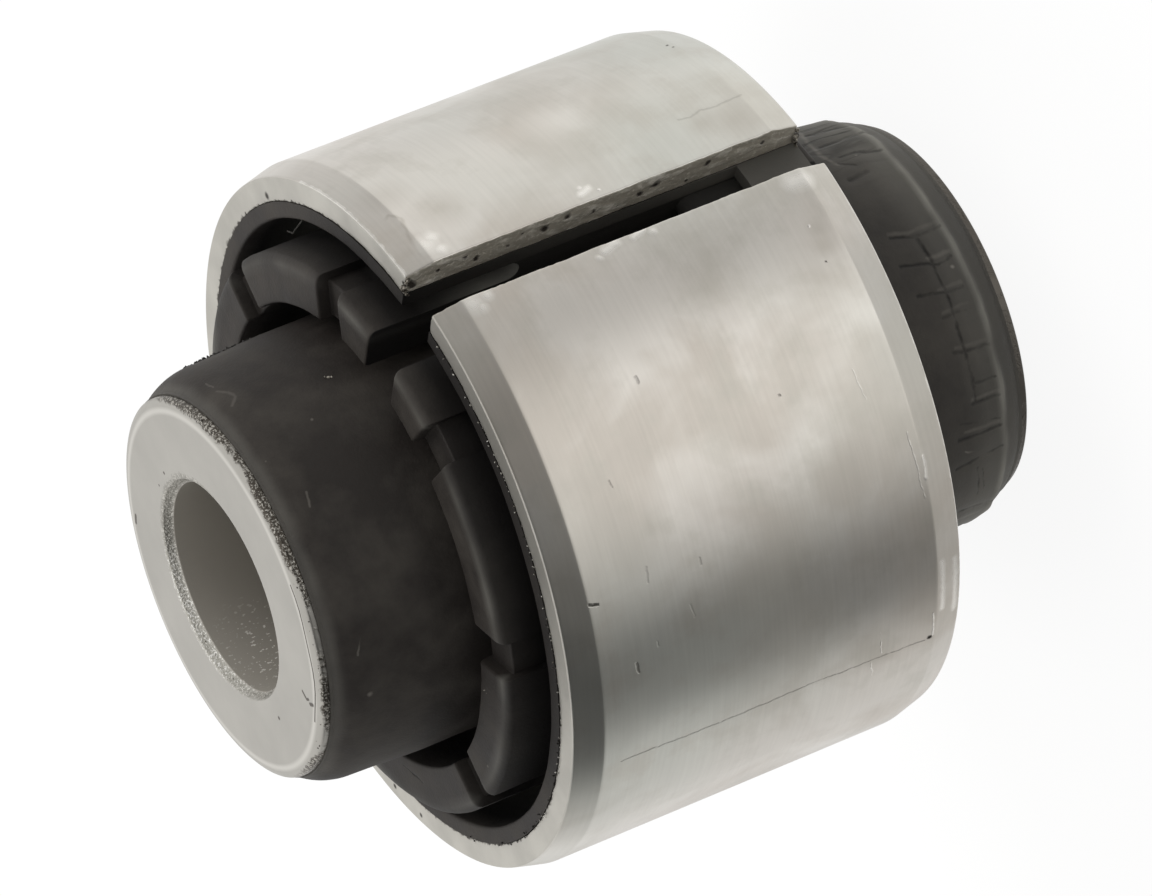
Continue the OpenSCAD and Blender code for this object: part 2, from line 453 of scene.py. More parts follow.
@dataclass(frozen=True)
class SatinSteel(Finish):
    """Cold rolled steel strip, bent round and ground, with oil stains left on it."""

    name: str = "ground_steel_strip"
    colour: str = "#d0cbc3"
    stain: str = "#c4bdb3"
    cool: str = "#c6c8c0"
    blotch: str = "#bdb9af"
    drop_ring: str = "#aaa499"
    # Colour of the rubbed spots and of the painted highlight lines.
    bare: str = "#e6e3dc"
    pit: str = "#2b2722"
    roughness: float = 0.34
    stain_size: float = 9.0
    streak_length: float = 5.0
    streak_width: float = 0.22
    blotch_size: float = 3.2
    pits: tuple[Mark, ...] = SLEEVE_PITS
    rubbed_and_highlit: tuple[Mark, ...] = SLEEVE_RUBBED_AND_HIGHLIGHTS
    stained: tuple[Mark, ...] = SLEEVE_STAINS

    def shader(self, tree: Tree) -> Socket:
        """Builds ground steel: soft stains, fine streaks round it, pits, rubbed spots and painted
        highlight lines.

        Args:
            tree: The material's tree.

        Returns:
            The shader.
        """
        place = add_node(tree, "TexCoord", out="Object")
        wrap = add_node(tree, "UVMap", uv_map="wrap")
        # Broad oil stains, about 9 mm across, that shift the grey to warm and cool.
        stains = add_node(tree, "TexNoise", {
            "Vector": place, "Scale": 1 / (self.stain_size * MM), "Detail": 4.0, "Roughness": 0.55,
            "Distortion": 0.6,
        })
        stain_share = add_node(tree, "MapRange", (stains, 0.44, 0.6, 0.0, 0.9))
        cool = add_node(tree, "TexNoise", {
            "Vector": place, "Scale": 1 / (2.6 * self.stain_size * MM), "Detail": 2.0,
        })
        cool_share = add_node(tree, "MapRange", (cool, 0.4, 0.65, 0.0, 0.8))
        base = add_node(tree, "Mix", (stain_share, self.colour, self.stain), data_type="RGBA")
        base = add_node(tree, "Mix", (cool_share, base, self.cool), data_type="RGBA")
        # Finger marks and dried oil in blotches about 3 mm across.
        blotches = add_node(tree, "TexNoise", {
            "Vector": place, "Scale": 1 / (self.blotch_size * MM), "Detail": 6.0, "Roughness": 0.62,
        })
        blotched = add_node(tree, "MapRange", (blotches, 0.5, 0.66, 0.0, 0.55))
        base = add_node(tree, "Mix", (blotched, base, self.blotch), data_type="RGBA")
        # Grinding streaks run round the sleeve, a fifth of a millimetre wide.
        streak_place = add_node(tree, "Mapping", {
            "Vector": wrap,
            "Scale": (1 / (self.streak_length * MM), 1 / (self.streak_width * MM), 1.0),
        })
        streaks = add_node(tree, "TexNoise", {"Vector": streak_place, "Scale": 1.0, "Detail": 5.0})
        streak_tone = add_node(tree, "MapRange", (streaks, 0.3, 0.7, 0.965, 1.025))
        base = add_node(tree, "VectorMath", (base, streak_tone), operation="SCALE")
        rough = add_node(
            tree, "MapRange", (stains, 0.3, 0.7, self.roughness - 0.04, self.roughness + 0.06)
        )
        # No mark has a clean outline, so the places are shaken before the marks are drawn.
        ragged = add_node(
            tree, "TexNoise", {"Vector": place, "Scale": 1 / (0.5 * MM), "Detail": 3.0}, out="Color"
        )
        uneven = shaken(tree, place, ragged, 0.25)
        height = add_node(tree, "Math", (streaks, 0.03), operation="MULTIPLY")
        stained = marks_mask(tree, uneven, self.stained, 0.9)
        stained = add_node(tree, "Math", (stained, 0.6), operation="MULTIPLY")
        base = add_node(tree, "Mix", (stained, base, self.drop_ring), data_type="RGBA")
        # Spots rubbed bare and the painted highlight lines are smooth and stand out in the bump,
        # and pits are rough and deep.
        for marks, soft, colour, roughness, raised in (
            (self.rubbed_and_highlit, 0.85, self.bare, 0.2, 0.5), (self.pits, 0.65, self.pit, 0.7, -1.5),
        ):
            mask = marks_mask(tree, uneven, marks, soft)
            base = add_node(tree, "Mix", (mask, base, colour), data_type="RGBA")
            rough = add_node(tree, "Mix", (mask, rough, roughness), data_type="FLOAT")
            height = add_node(tree, "Math", (mask, raised, height), operation="MULTIPLY_ADD")
        bump = add_node(tree, "Bump", {"Height": height, "Distance": 0.05 * MM, "Strength": 0.6})
        return add_node(tree, "BsdfPrincipled", {
            "Base Color": base, "Metallic": 1.0, "Roughness": rough, "Normal": bump,
        })


@dataclass(frozen=True)
class CutSteel(Finish):
    """The sleeve's end faces: cut across the strip, so plainer and greyer than its side."""

    name: str = "cut_steel_edge"
    colour: str = "#c6c3bb"
    smear: str = "#57534d"
    # Colour of the painted dark reflection on the end face.
    reflection_tone: str = "#b9b6ae"
    chip: str = "#45413b"
    roughness: float = 0.52
    grain: float = 0.35
    smear_radius: float = 19.12
    reflection_band: tuple[Mark, ...] = EDGE_PAINTED_REFLECTION
    chips: tuple[Mark, ...] = EDGE_CHIPS

    def shader(self, tree: Tree) -> Socket:
        """Builds the cut face: fine grain, rubber smeared along its inner edge, and a painted dark
        reflection over part of it.

        Args:
            tree: The material's tree.

        Returns:
            The shader.
        """
        place = add_node(tree, "TexCoord", out="Object")
        grain = add_node(tree, "TexNoise", {
            "Vector": place, "Scale": 1 / (self.grain * MM), "Detail": 5.0, "Roughness": 0.6,
        })
        broad = add_node(
            tree, "TexNoise", {"Vector": place, "Scale": 1 / (3.0 * MM), "Detail": 3.0}
        )
        tone = add_node(tree, "MapRange", (broad, 0.3, 0.7, 0.86, 1.06))
        base = add_node(tree, "VectorMath", (srgb(self.colour)[:3], tone), operation="SCALE")
        _, radius = from_axis(tree, place)
        ragged = add_node(tree, "Math", (grain, 0.7 * MM, radius), operation="MULTIPLY_ADD")
        smeared = add_node(tree, "MapRange", (
            ragged, (self.smear_radius + 0.35) * MM, (self.smear_radius + 0.45) * MM, 1.0, 0.0,
        ))
        base = add_node(tree, "Mix", (smeared, base, self.smear), data_type="RGBA")
        # A band over the face is painted darker, as a painted reflection of the dark boss.
        reflection_share = marks_mask(tree, place, self.reflection_band, 0.5)
        base = add_node(tree, "Mix", (reflection_share, base, self.reflection_tone), data_type="RGBA")
        chipped = marks_mask(tree, place, self.chips, 0.6)
        base = add_node(tree, "Mix", (chipped, base, self.chip), data_type="RGBA")
        height = add_node(tree, "Math", (chipped, -2.0, grain), operation="MULTIPLY_ADD")
        bump = add_node(tree, "Bump", {"Height": height, "Distance": 0.03 * MM, "Strength": 0.5})
        return add_node(tree, "BsdfPrincipled", {
            "Base Color": base, "Metallic": 1.0, "Roughness": self.roughness, "Normal": bump,
        })


@dataclass(frozen=True)
class ShearedSteel(Finish):
    """The split faces: sheared edges that met in the mould, dark and torn, with bright tears."""

    name: str = "sheared_steel"
    colour: str = "#a09a8e"
    bright: str = "#d2cec4"
    soot: str = "#37322d"
    grain: float = 0.7
    grit: float = 0.22
    pits: tuple[Mark, ...] = SPLIT_PITS

    def shader(self, tree: Tree) -> Socket:
        """Builds the torn face: dull dark metal, bright ridges along the tear and black pits.

        Args:
            tree: The material's tree.

        Returns:
            The shader.
        """
        place = add_node(tree, "TexCoord", out="Object")
        stretched = add_node(tree, "Mapping", {"Vector": place, "Scale": (1.0, 1.0, 0.45)})
        # The tear runs along the split, in ridges as wide as the strip's grain.
        torn = add_node(tree, "TexNoise", {
            "Vector": stretched, "Scale": 1 / (self.grain * MM), "Detail": 6.0, "Roughness": 0.65,
            "Distortion": 0.3,
        })
        bright = add_node(tree, "MapRange", (torn, 0.52, 0.66))
        base = add_node(tree, "Mix", (bright, self.colour, self.bright), data_type="RGBA")
        uneven = shaken(tree, place, torn.node.outputs["Color"], 0.5)
        grit = add_node(tree, "TexNoise", {
            "Vector": place, "Scale": 1 / (self.grit * MM), "Detail": 3.0, "Roughness": 0.6,
        })
        gritty = add_node(tree, "MapRange", (grit, 0.56, 0.7, 0.0, 0.8))
        base = add_node(tree, "Mix", (gritty, base, self.bright), data_type="RGBA")
        pitted = marks_mask(tree, uneven, self.pits, 0.6)
        base = add_node(tree, "Mix", (pitted, base, self.soot), data_type="RGBA")
        height = add_node(tree, "Math", (pitted, -0.8, torn), operation="MULTIPLY_ADD")
        bump = add_node(tree, "Bump", {"Height": height, "Distance": 0.2 * MM, "Strength": 0.8})
        return add_node(tree, "BsdfPrincipled", {
            "Base Color": base, "Metallic": 0.35, "Roughness": 0.5, "Normal": bump,
        })


@dataclass(frozen=True)
class FacedSteel(Finish):
    """Free cutting steel, faced on a lathe and tumbled: an even light grey with speckled rims."""

    name: str = "faced_tube_steel"
    colour: str = "#b5b2ab"
    rim_highlight: str = "#d8d5ce"
    # Colour of the painted highlight on the rounded rim.
    spark: str = "#c2beb5"
    dark: str = "#57524b"
    mouth_dark: tuple[str, str] = ("#9a978f", "#bab7ae")
    mouth_bright: tuple[str, str] = ("#cbc8c0", "#f6f4ee")
    smear: str = "#5d5953"
    nick: str = "#5d5851"
    roughness: float = 0.42
    speckle: float = 0.14
    rim_radius: float = 11.0
    mouth_radius: float = 6.85
    rim_highlight_at: float = 10.56
    struck_from: float = -121.65
    wide_mouth_at: float = 20.0
    knocked_at: float = 75.0
    nicks: tuple[Mark, ...] = FACE_NICKS

    def shader(self, tree: Tree) -> Socket:
        """Builds the face: even satin metal, with rims speckled by rubber dust and bare sparks, and
        a painted highlight on the rounded rim.

        Args:
            tree: The material's tree.

        Returns:
            The shader.
        """
        place = add_node(tree, "TexCoord", out="Object")
        grain = add_node(
            tree, "TexNoise", {"Vector": place, "Scale": 1 / (0.3 * MM), "Detail": 4.0}
        )
        cloud = add_node(
            tree, "TexNoise", {"Vector": place, "Scale": 1 / (4.0 * MM), "Detail": 3.0}
        )
        tone = add_node(tree, "MapRange", (cloud, 0.3, 0.7, 0.93, 1.05))
        base = add_node(tree, "VectorMath", (srgb(self.colour)[:3], tone), operation="SCALE")
        flat, radius = from_axis(tree, place)
        ragged = add_node(tree, "Math", (grain, 0.5 * MM, radius), operation="MULTIPLY_ADD")
        # The rounded rim is painted a shade lighter than the face, as a painted highlight.
        middle_out = add_node(tree, "Math", (radius, self.rim_highlight_at * MM), operation="SUBTRACT")
        aside = add_node(tree, "Math", (middle_out,), operation="ABSOLUTE")
        rim_highlit = add_node(tree, "MapRange", (aside, 0.05 * MM, 0.26 * MM, 0.75, 0.0))
        base = add_node(tree, "Mix", (rim_highlit, base, self.rim_highlight), data_type="RGBA")
        # The speckled band swells and thins along the rim.
        patchy = add_node(tree, "MapRange", (cloud, 0.35, 0.6, -0.35 * MM, 0.15 * MM))
        outward = add_node(tree, "Math", (ragged, patchy), operation="ADD")
        rim = add_node(
            tree, "MapRange", (outward, (self.rim_radius + 0.25) * MM, (self.rim_radius + 0.4) * MM)
        )
        # Only the half that was struck in the tumbler is speckled.
        struck_way = at(1.0, self.struck_from, 0.0)
        towards = add_node(tree, "VectorMath", (flat, struck_way), operation="DOT_PRODUCT")
        struck = add_node(tree, "MapRange", (towards, -1.5 * MM, 2.5 * MM))
        rim = add_node(tree, "Math", (rim, struck), operation="MULTIPLY")
        # The mouth's band is wide on one side and thin on the other.
        wide_way = at(1.0, self.wide_mouth_at, 0.0)
        across = add_node(tree, "VectorMath", (flat, wide_way), operation="DOT_PRODUCT")
        thinned = add_node(tree, "MapRange", (across, -2 * MM, 3 * MM, 0.35 * MM, 0.0))
        mouth_out = add_node(tree, "Math", (ragged, thinned), operation="ADD")
        mouth = add_node(tree, "MapRange", (
            mouth_out, (self.mouth_radius + 0.15) * MM, (self.mouth_radius + 0.35) * MM, 1.0, 0.0,
        ))
        specks = add_node(tree, "TexNoise", {
            "Vector": place, "Scale": 1 / (self.speckle * MM), "Detail": 2.0, "Roughness": 0.7,
        })
        sparks = add_node(tree, "MapRange", (specks, 0.5, 0.62))
        speckled = add_node(tree, "Mix", (sparks, self.dark, self.spark), data_type="RGBA")
        # A bolt has knocked one side of the mouth bright.
        knocked_way = at(1.0, self.knocked_at, 0.0)
        to_knock = add_node(tree, "VectorMath", (flat, knocked_way), operation="DOT_PRODUCT")
        knocked = add_node(tree, "MapRange", (to_knock, 3.4 * MM, 6.0 * MM))
        shades = [
            add_node(tree, "Mix", (knocked, *pair), data_type="RGBA")
            for pair in (self.mouth_dark, self.mouth_bright)
        ]
        mouth_specks = add_node(tree, "Mix", (sparks, *shades), data_type="RGBA")
        base = add_node(tree, "Mix", (rim, base, speckled), data_type="RGBA")
        base = add_node(tree, "Mix", (mouth, base, mouth_specks), data_type="RGBA")
        # The bare ring at the lower end is smeared with rubber all the way down.
        height_of = add_node(tree, "SeparateXYZ", (place,), out="Z")
        lowest = add_node(tree, "Math", (height_of, 2 * MM), operation="LESS_THAN")
        outermost = add_node(tree, "MapRange", (radius, 10.75 * MM, 10.95 * MM))
        smeared = add_node(tree, "Math", (outermost, lowest), operation="MULTIPLY")
        base = add_node(tree, "Mix", (smeared, base, self.smear), data_type="RGBA")
        edges = add_node(tree, "Math", (rim, mouth), operation="MAXIMUM")
        height = add_node(tree, "Math", (edges, specks), operation="MULTIPLY")
        height = add_node(tree, "Math", (grain, 0.12, height), operation="MULTIPLY_ADD")
        nicked = marks_mask(tree, place, self.nicks, 0.5)
        base = add_node(tree, "Mix", (nicked, base, self.nick), data_type="RGBA")
        height = add_node(tree, "Math", (nicked, -0.6, height), operation="MULTIPLY_ADD")
        bump = add_node(tree, "Bump", {"Height": height, "Distance": 0.1 * MM, "Strength": 0.6})
        return add_node(tree, "BsdfPrincipled", {
            "Base Color": base, "Metallic": 1.0, "Roughness": self.roughness, "Normal": bump,
        })


@dataclass(frozen=True)
class BoredSteel(Finish):
    """The wall of the bore: drilled, dull grey and lightly oiled, with bright flecks."""

    name: str = "bored_steel"
    colour: str = "#a19c93"
    fleck: str = "#efece6"
    roughness: float = 0.5
    fleck_size: float = 0.17
    flecked_at: Point = (-1.6, 6.0, 42.4)

    def shader(self, tree: Tree) -> Socket:
        """Builds the bore wall: dull metal, bright flecks where swarf has scratched it.

        Args:
            tree: The material's tree.

        Returns:
            The shader.
        """
        place = add_node(tree, "TexCoord", out="Object")
        long = add_node(tree, "Mapping", {"Vector": place, "Scale": (1.0, 1.0, 0.6)})
        flecks = add_node(
            tree, "TexNoise", {"Vector": long, "Scale": 1 / (self.fleck_size * MM), "Detail": 2.0}
        )
        fleck_share = add_node(tree, "MapRange", (flecks, 0.625, 0.67))
        flecked_at = tuple(Vector(self.flecked_at) * MM)
        away = add_node(tree, "VectorMath", (place, flecked_at), operation="DISTANCE")
        near = add_node(tree, "MapRange", (away, 1.5 * MM, 4.5 * MM, 1.0, 0.0))
        fleck_share = add_node(tree, "Math", (fleck_share, near), operation="MULTIPLY")
        base = add_node(tree, "Mix", (fleck_share, self.colour, self.fleck), data_type="RGBA")
        bump = add_node(tree, "Bump", {"Height": flecks, "Distance": 0.015 * MM, "Strength": 0.3})
        return add_node(tree, "BsdfPrincipled", {
            "Base Color": base, "Metallic": 0.3, "Roughness": self.roughness, "Normal": bump,
        })


@dataclass(frozen=True)
class MouldedRubber(Finish):
    """Natural rubber filled with carbon black, moulded in a blasted mould: matt near black."""

    name: str = "moulded_natural_rubber"
    colour: str = "#292522"
    bloom: str = "#433f3a"
    # Colour of the painted shade in creases and folds.
    crease_shade: str = "#171513"
    roughness: float = 0.66
    # Colour of the dust, and of the painted light and highlights on the rubber.
    dust_and_light_tone: str = "#9b9991"
    # Colour of the painted shade in the grooves and the slit.
    painted_shade_tone: str = "#12100f"
    # Colour of the scuffs and of the painted highlights beside the creases.
    scuff_and_highlight_tone: str = "#8f8a82"
    speck: str = "#8a857d"
    grain: float = 0.18
    ripple: float = 1.6
    bloom_size: float = 5.0
    fold: tuple[float, float] = (1.3, 4.2)
    speck_apart: float = 3.4
    creases: tuple[Mark, ...] = (*BOSS_CREASES, *PAD_CRACKS)
    scuffs_and_highlights: tuple[Mark, ...] = BOSS_SCUFFS_AND_HIGHLIGHTS

    def shader(self, tree: Tree) -> Socket:
        """Builds the rubber: dark base, a faint grey bloom in clouds, fine blasted grain, dust,
        painted shade and painted highlights.

        Args:
            tree: The material's tree.

        Returns:
            The shader.
        """
        place = add_node(tree, "TexCoord", out="Object")
        clouds = add_node(tree, "TexNoise", {
            "Vector": place, "Scale": 1 / (self.bloom_size * MM), "Detail": 5.0, "Roughness": 0.6,
        })
        bloomed = add_node(tree, "MapRange", (clouds, 0.42, 0.68, 0.0, 0.8))
        base = add_node(tree, "Mix", (bloomed, self.colour, self.bloom), data_type="RGBA")
        # The grooves, the slit, the pads' outer parts and part of the lining's rim are painted near
        # black, as painted shade.
        painted_shade, dust_and_light_share, drawn = [
            add_node(tree, "Attribute", out="Fac", attribute_name=name, attribute_type="GEOMETRY")
            for name in ("painted_shade", "dust_and_light", "puckered")
        ]
        base = add_node(tree, "Mix", (painted_shade, base, self.painted_shade_tone), data_type="RGBA")
        # Dust and painted light pale the lower boss, and painted highlights pale its bead, the
        # upper tip and the pads' edges.
        base = add_node(tree, "Mix", (dust_and_light_share, base, self.dust_and_light_tone), data_type="RGBA")
        ragged = add_node(
            tree, "TexNoise", {"Vector": place, "Scale": 1 / (0.8 * MM), "Detail": 3.0}, out="Color"
        )
        uneven = shaken(tree, place, ragged, 0.3)
        # Pale scuffs, and painted highlights beside the creases of the lower boss.
        scuffed_and_highlit = marks_mask(tree, uneven, self.scuffs_and_highlights, 0.8)
        base = add_node(tree, "Mix", (scuffed_and_highlit, base, self.scuff_and_highlight_tone), data_type="RGBA")
        # Where the skin was drawn up in the mould it puckers in fine folds along the axis.
        wide, long = self.fold
        drawn_out = add_node(tree, "Mapping", {
            "Vector": place, "Scale": (1 / (wide * MM), 1 / (wide * MM), 1 / (long * MM)),
        })
        folds = add_node(
            tree, "TexNoise", {"Vector": drawn_out, "Scale": 1.0, "Detail": 1.5, "Distortion": 0.4}
        )
        off_fold = add_node(tree, "Math", (folds, 0.5), operation="SUBTRACT")
        off_fold = add_node(tree, "Math", (off_fold,), operation="ABSOLUTE")
        folded = add_node(tree, "MapRange", (off_fold, 0.0, 0.06, 0.6, 0.0))
        folded = add_node(tree, "Math", (folded, drawn), operation="MULTIPLY")
        # The creases and the folds are painted darker, as painted shade in them.
        creased = marks_mask(tree, uneven, self.creases, 0.85)
        creased = add_node(tree, "Math", (creased, folded), operation="MAXIMUM")
        base = add_node(tree, "Mix", (creased, base, self.crease_shade), data_type="RGBA")
        to_speck = add_node(tree, "TexVoronoi", {
            "Vector": place, "Scale": 1 / (self.speck_apart * MM), "Randomness": 1.0,
        })
        specks = add_node(tree, "MapRange", (to_speck, 0.015, 0.035, 0.5, 0.0))
        base = add_node(tree, "Mix", (specks, base, self.speck), data_type="RGBA")
        grain = add_node(
            tree, "TexNoise", {"Vector": place, "Scale": 1 / (self.grain * MM), "Detail": 3.0}
        )
        ripples = add_node(
            tree, "TexNoise", {"Vector": place, "Scale": 1 / (self.ripple * MM), "Detail": 3.0}
        )
        height = add_node(tree, "Math", (ripples, 2.0, grain), operation="MULTIPLY_ADD")
        height = add_node(tree, "Math", (creased, -3.0, height), operation="MULTIPLY_ADD")
        bump = add_node(tree, "Bump", {"Height": height, "Distance": 0.04 * MM, "Strength": 0.5})
        rough = add_node(
            tree, "MapRange", (clouds, 0.3, 0.7, self.roughness - 0.06, self.roughness + 0.08)
        )
        return add_node(tree, "BsdfPrincipled", {
            "Base Color": base, "Roughness": rough, "IOR": 1.5, "Specular IOR Level": 0.3,
            "Normal": bump,
        })


@dataclass(frozen=True)
class PaleCrumb(Finish):
    """Crumbs of dried release agent: pale, dull specks that sit on the rubber."""

    name: str = "release_agent_crumb"
    colour: str = "#b4aea2"
    shade: str = "#6f6a61"
    grain: float = 0.2

    def shader(self, tree: Tree) -> Socket:
        """Builds the crumb: a chalky pale grey with a faint change of tone.

        Args:
            tree: The material's tree.

        Returns:
            The shader.
        """
        place = add_node(tree, "TexCoord", out="Object")
        tone = add_node(
            tree, "TexNoise", {"Vector": place, "Scale": 1 / (self.grain * MM), "Detail": 2.0}
        )
        base = add_node(tree, "Mix", (tone, self.colour, self.shade), data_type="RGBA")
        return add_node(tree, "BsdfPrincipled", {"Base Color": base, "Roughness": 0.8})


@dataclass(frozen=True)
class PlainBits(Finish):
    """Bits too small for a pattern of their own: bare steel sparks, or flash off the rubber."""

    name: str = "bare_steel_sparks"
    colour: str = "#dcd9d2"
    shade: str = "#8b8780"
    metallic: float = 1.0
    roughness: float = 0.35
    grain: float = 0.25

    def shader(self, tree: Tree) -> Socket:
        """Builds the bits: one tone that shifts from bit to bit, so that some glint.

        Args:
            tree: The material's tree.

        Returns:
            The shader.
        """
        place = add_node(tree, "TexCoord", out="Object")
        tone = add_node(
            tree, "TexNoise", {"Vector": place, "Scale": 1 / (self.grain * MM), "Detail": 1.0}
        )
        share = add_node(tree, "MapRange", (tone, 0.4, 0.6))
        base = add_node(tree, "Mix", (share, self.colour, self.shade), data_type="RGBA")
        return add_node(tree, "BsdfPrincipled", {
            "Base Color": base, "Metallic": self.metallic, "Roughness": self.roughness,
        })


@dataclass(frozen=True)
class StudioPaper(Finish):
    """White studio paper: shown white to the eye and in reflections, lit by the lamps besides."""

    name: str = "white_studio_paper"
    paper: str = "#e6e6e4"
    shown: float = 0.87
    glow: float = 1.04

    def shader(self, tree: Tree) -> Socket:
        """Builds the paper: matt white that keeps part of the shadow that falls on it.

        Args:
            tree: The material's tree.

        Returns:
            The shader.
        """
        share = add_node(tree, "Math", (seen_directly(tree), self.shown), operation="MULTIPLY")
        matt = add_node(tree, "BsdfDiffuse", {"Color": self.paper})
        white = add_node(tree, "Emission", {"Color": "#ffffff", "Strength": self.glow})
        return add_node(tree, "MixShader", (share, matt, white))


@dataclass(frozen=True)
class TentCloth(Finish):
    """The cloth of a light tent with black flags hung in it, which gives bright metal its bands."""

    name: str = "light_tent_cloth"

    def shader(self, tree: Tree) -> Socket:
        """Builds the cloth: as bright as the tone that is stored on it, whatever the lamps do.

        Args:
            tree: The material's tree.

        Returns:
            The shader.
        """
        tone = add_node(
            tree, "Attribute", out="Fac", attribute_name="tone", attribute_type="GEOMETRY"
        )
        return add_node(tree, "Emission", {"Strength": tone})

    def material(self) -> bpy.types.Material:
        """Builds the material, and keeps the renderer from taking the cloth for a lamp.

        Returns:
            The new material.
        """
        material = super().material()
        material.cycles.emission_sampling = "NONE"
        return material


# Mesh making


class Outline:
    """A path in the plane of radius and height, drawn point by point in millimetres."""

    def __init__(self, radius: float, height: float) -> None:
        """Starts the path.

        Args:
            radius: Distance of the first point from the axis.
            height: Height of the first point.
        """
        self.points: list[tuple[float, float]] = [(radius, height)]

    def line_to(self, radius: float, height: float, steps: int = 1) -> "Outline":
        """Goes straight to a point.

        Args:
            radius: Distance of the new point from the axis.
            height: Height of the new point.
            steps: Parts that the line is cut into.

        Returns:
            The path itself.
        """
        r0, z0 = self.points[-1]
        for i in range(1, steps + 1):
            share = i / steps
            self.points.append((r0 + (radius - r0) * share, z0 + (height - z0) * share))
        return self

    def round_to(self, radius: float, height: float, leaving: Leaving, steps: int) -> "Outline":
        """Goes to a point by a quarter of an ellipse.

        Args:
            radius: Distance of the new point from the axis.
            height: Height of the new point.
            leaving: Whether the corner starts outwards or along the axis.
            steps: Parts that the corner is cut into.

        Returns:
            The path itself.
        """
        r0, z0 = self.points[-1]
        for i in range(1, steps + 1):
            angle = math.pi / 2 * i / steps
            late, soon = 1 - math.cos(angle), math.sin(angle)
            out, up = (soon, late) if leaving is Leaving.OUTWARDS else (late, soon)
            self.points.append((r0 + (radius - r0) * out, z0 + (height - z0) * up))
        return self

    def array(self) -> Array:
        """Gives the path as rows of radius and height."""
        return np.array(self.points, float)


def add_object(name: str, data: bpy.types.ID) -> bpy.types.Object:
    """Puts a mesh, a lamp or a camera into the scene as an object at the origin.

    Args:
        name: The object's name.
        data: What the object shows.

    Returns:
        The new object.
    """
    item = bpy.data.objects.new(name, data)
    bpy.context.scene.collection.objects.link(item)
    return item


def ramp(values: Array, start: float, end: float) -> Array:
    """Gives 0 up to the start, 1 past the end and a straight rise between, either way round."""
    return np.clip((values - start) / (end - start), 0, 1)


def bell(values: Array, middle: Array | float, width: float) -> Array:
    """Gives 1 at the middle, fading softly over the width to both sides."""
    return np.exp(-(((values - middle) / width) ** 2))


def round_axis(radius: Array | float, turn: Array, height: Array | float) -> Array:
    """Gives places by their distance from the axis, their turn from +X in radians and height."""
    return np.stack([radius * np.cos(turn), radius * np.sin(turn), height + 0 * turn], axis=-1)


def store_shares(mesh: bpy.types.Mesh, name: str, shares: Array) -> None:
    """Stores a number on each corner, for the material to read."""
    layer = mesh.attributes.new(name, "FLOAT", "POINT")
    layer.data.foreach_set("value", shares.astype(np.float32).ravel())


def make_mesh(name: str, points: Array, faces: Array, sharp_deg: float) -> bpy.types.Object:
    """Makes a smooth shaded mesh object at the origin.

    Args:
        name: The piece's name.
        points: Corners in millimetres, one per row.
        faces: Corner numbers, one face per row.
        sharp_deg: Edges that turn by more than this stay sharp.

    Returns:
        The new object.
    """
    mesh = bpy.data.meshes.new(name)
    mesh.from_pydata((points * MM).tolist(), [], faces.tolist())
    mesh.validate()
    mesh.shade_smooth()
    mesh.set_sharp_from_angle(angle=math.radians(sharp_deg))
    mesh.update()
    return add_object(name, mesh)


def loft_faces(rows: int, columns: int) -> Array:
    """Gives the faces of a grid that closes on itself both ways.

    Args:
        rows: Lines round the axis.
        columns: Points along each line.

    Returns:
        Four corner numbers per face, turned outwards for a path that runs up the inner wall.
    """
    i, j = np.meshgrid(np.arange(rows), np.arange(columns), indexing="ij")
    i2, j2 = (i + 1) % rows, (j + 1) % columns
    corners = [i * columns + j, i * columns + j2, i2 * columns + j2, i2 * columns + j]
    return np.stack(corners, axis=-1).reshape(-1, 4)


def waves(points: Array, size: float, seed: float) -> Array:
    """Gives a smooth random height at each point.

    Args:
        points: Places in millimetres, one per row.
        size: Distance over which the height changes.
        seed: Shift that makes one pattern differ from another.

    Returns:
        Heights from about -1 to 1.
    """
    shift = Vector((seed, seed * 1.7, seed * 0.6))
    return np.array([noise.noise(Vector(p) / size + shift) for p in points])


def crease_depth(points: Array) -> Array:
    """Tells how far the creases of the lower boss draw the skin in.

    Args:
        points: Places in millimetres.

    Returns:
        Depth in millimetres at each place.
    """
    depth = np.zeros(len(points))
    near = points[:, 2] < 8
    for mark in BOSS_CREASES:
        start, way = np.array(mark.start), np.array(mark.end) - np.array(mark.start)
        off = points[near] - start
        along = np.clip(off @ way / max(way @ way, 1e-9), 0, 1)
        far = np.linalg.norm(off - along[:, None] * way, axis=1)
        pressed = 0.5 * mark.radius * np.exp(-((far / (1.5 * mark.radius)) ** 2))
        depth[near] = np.maximum(depth[near], pressed)
    return depth


def set_wrap(piece: bpy.types.Object, flat: Array) -> None:
    """Stores the unrolled place of each corner as the piece's own map, in metres.

    Args:
        piece: The mesh piece.
        flat: Distance round and along for each corner, in millimetres.
    """
    layer = piece.data.uv_layers.new(name="wrap")
    corner = np.empty(len(piece.data.loops), dtype=np.int32)
    piece.data.loops.foreach_get("vertex_index", corner)
    layer.data.foreach_set("uv", (flat[corner] * MM).astype(np.float32).ravel())


# Geometry nodes


def new_tree(name: str, sizes: dict[str, str]) -> tuple[Tree, dict[str, Socket]]:
    """Starts a geometry tree with one geometry in, one out, and named sizes.

    Args:
        name: The tree's name.
        sizes: Kind of each named input, such as Int.

    Returns:
        The tree, and what comes in by its name.
    """
    tree = bpy.data.node_groups.new(name, "GeometryNodeTree")
    tree.interface.new_socket("Geometry", in_out="INPUT", socket_type="NodeSocketGeometry")
    for label, kind in sizes.items():
        tree.interface.new_socket(label, in_out="INPUT", socket_type="NodeSocket" + kind)
    tree.interface.new_socket("Geometry", in_out="OUTPUT", socket_type="NodeSocketGeometry")
    return tree, dict(add_node(tree, "NodeGroupInput").node.outputs.items())


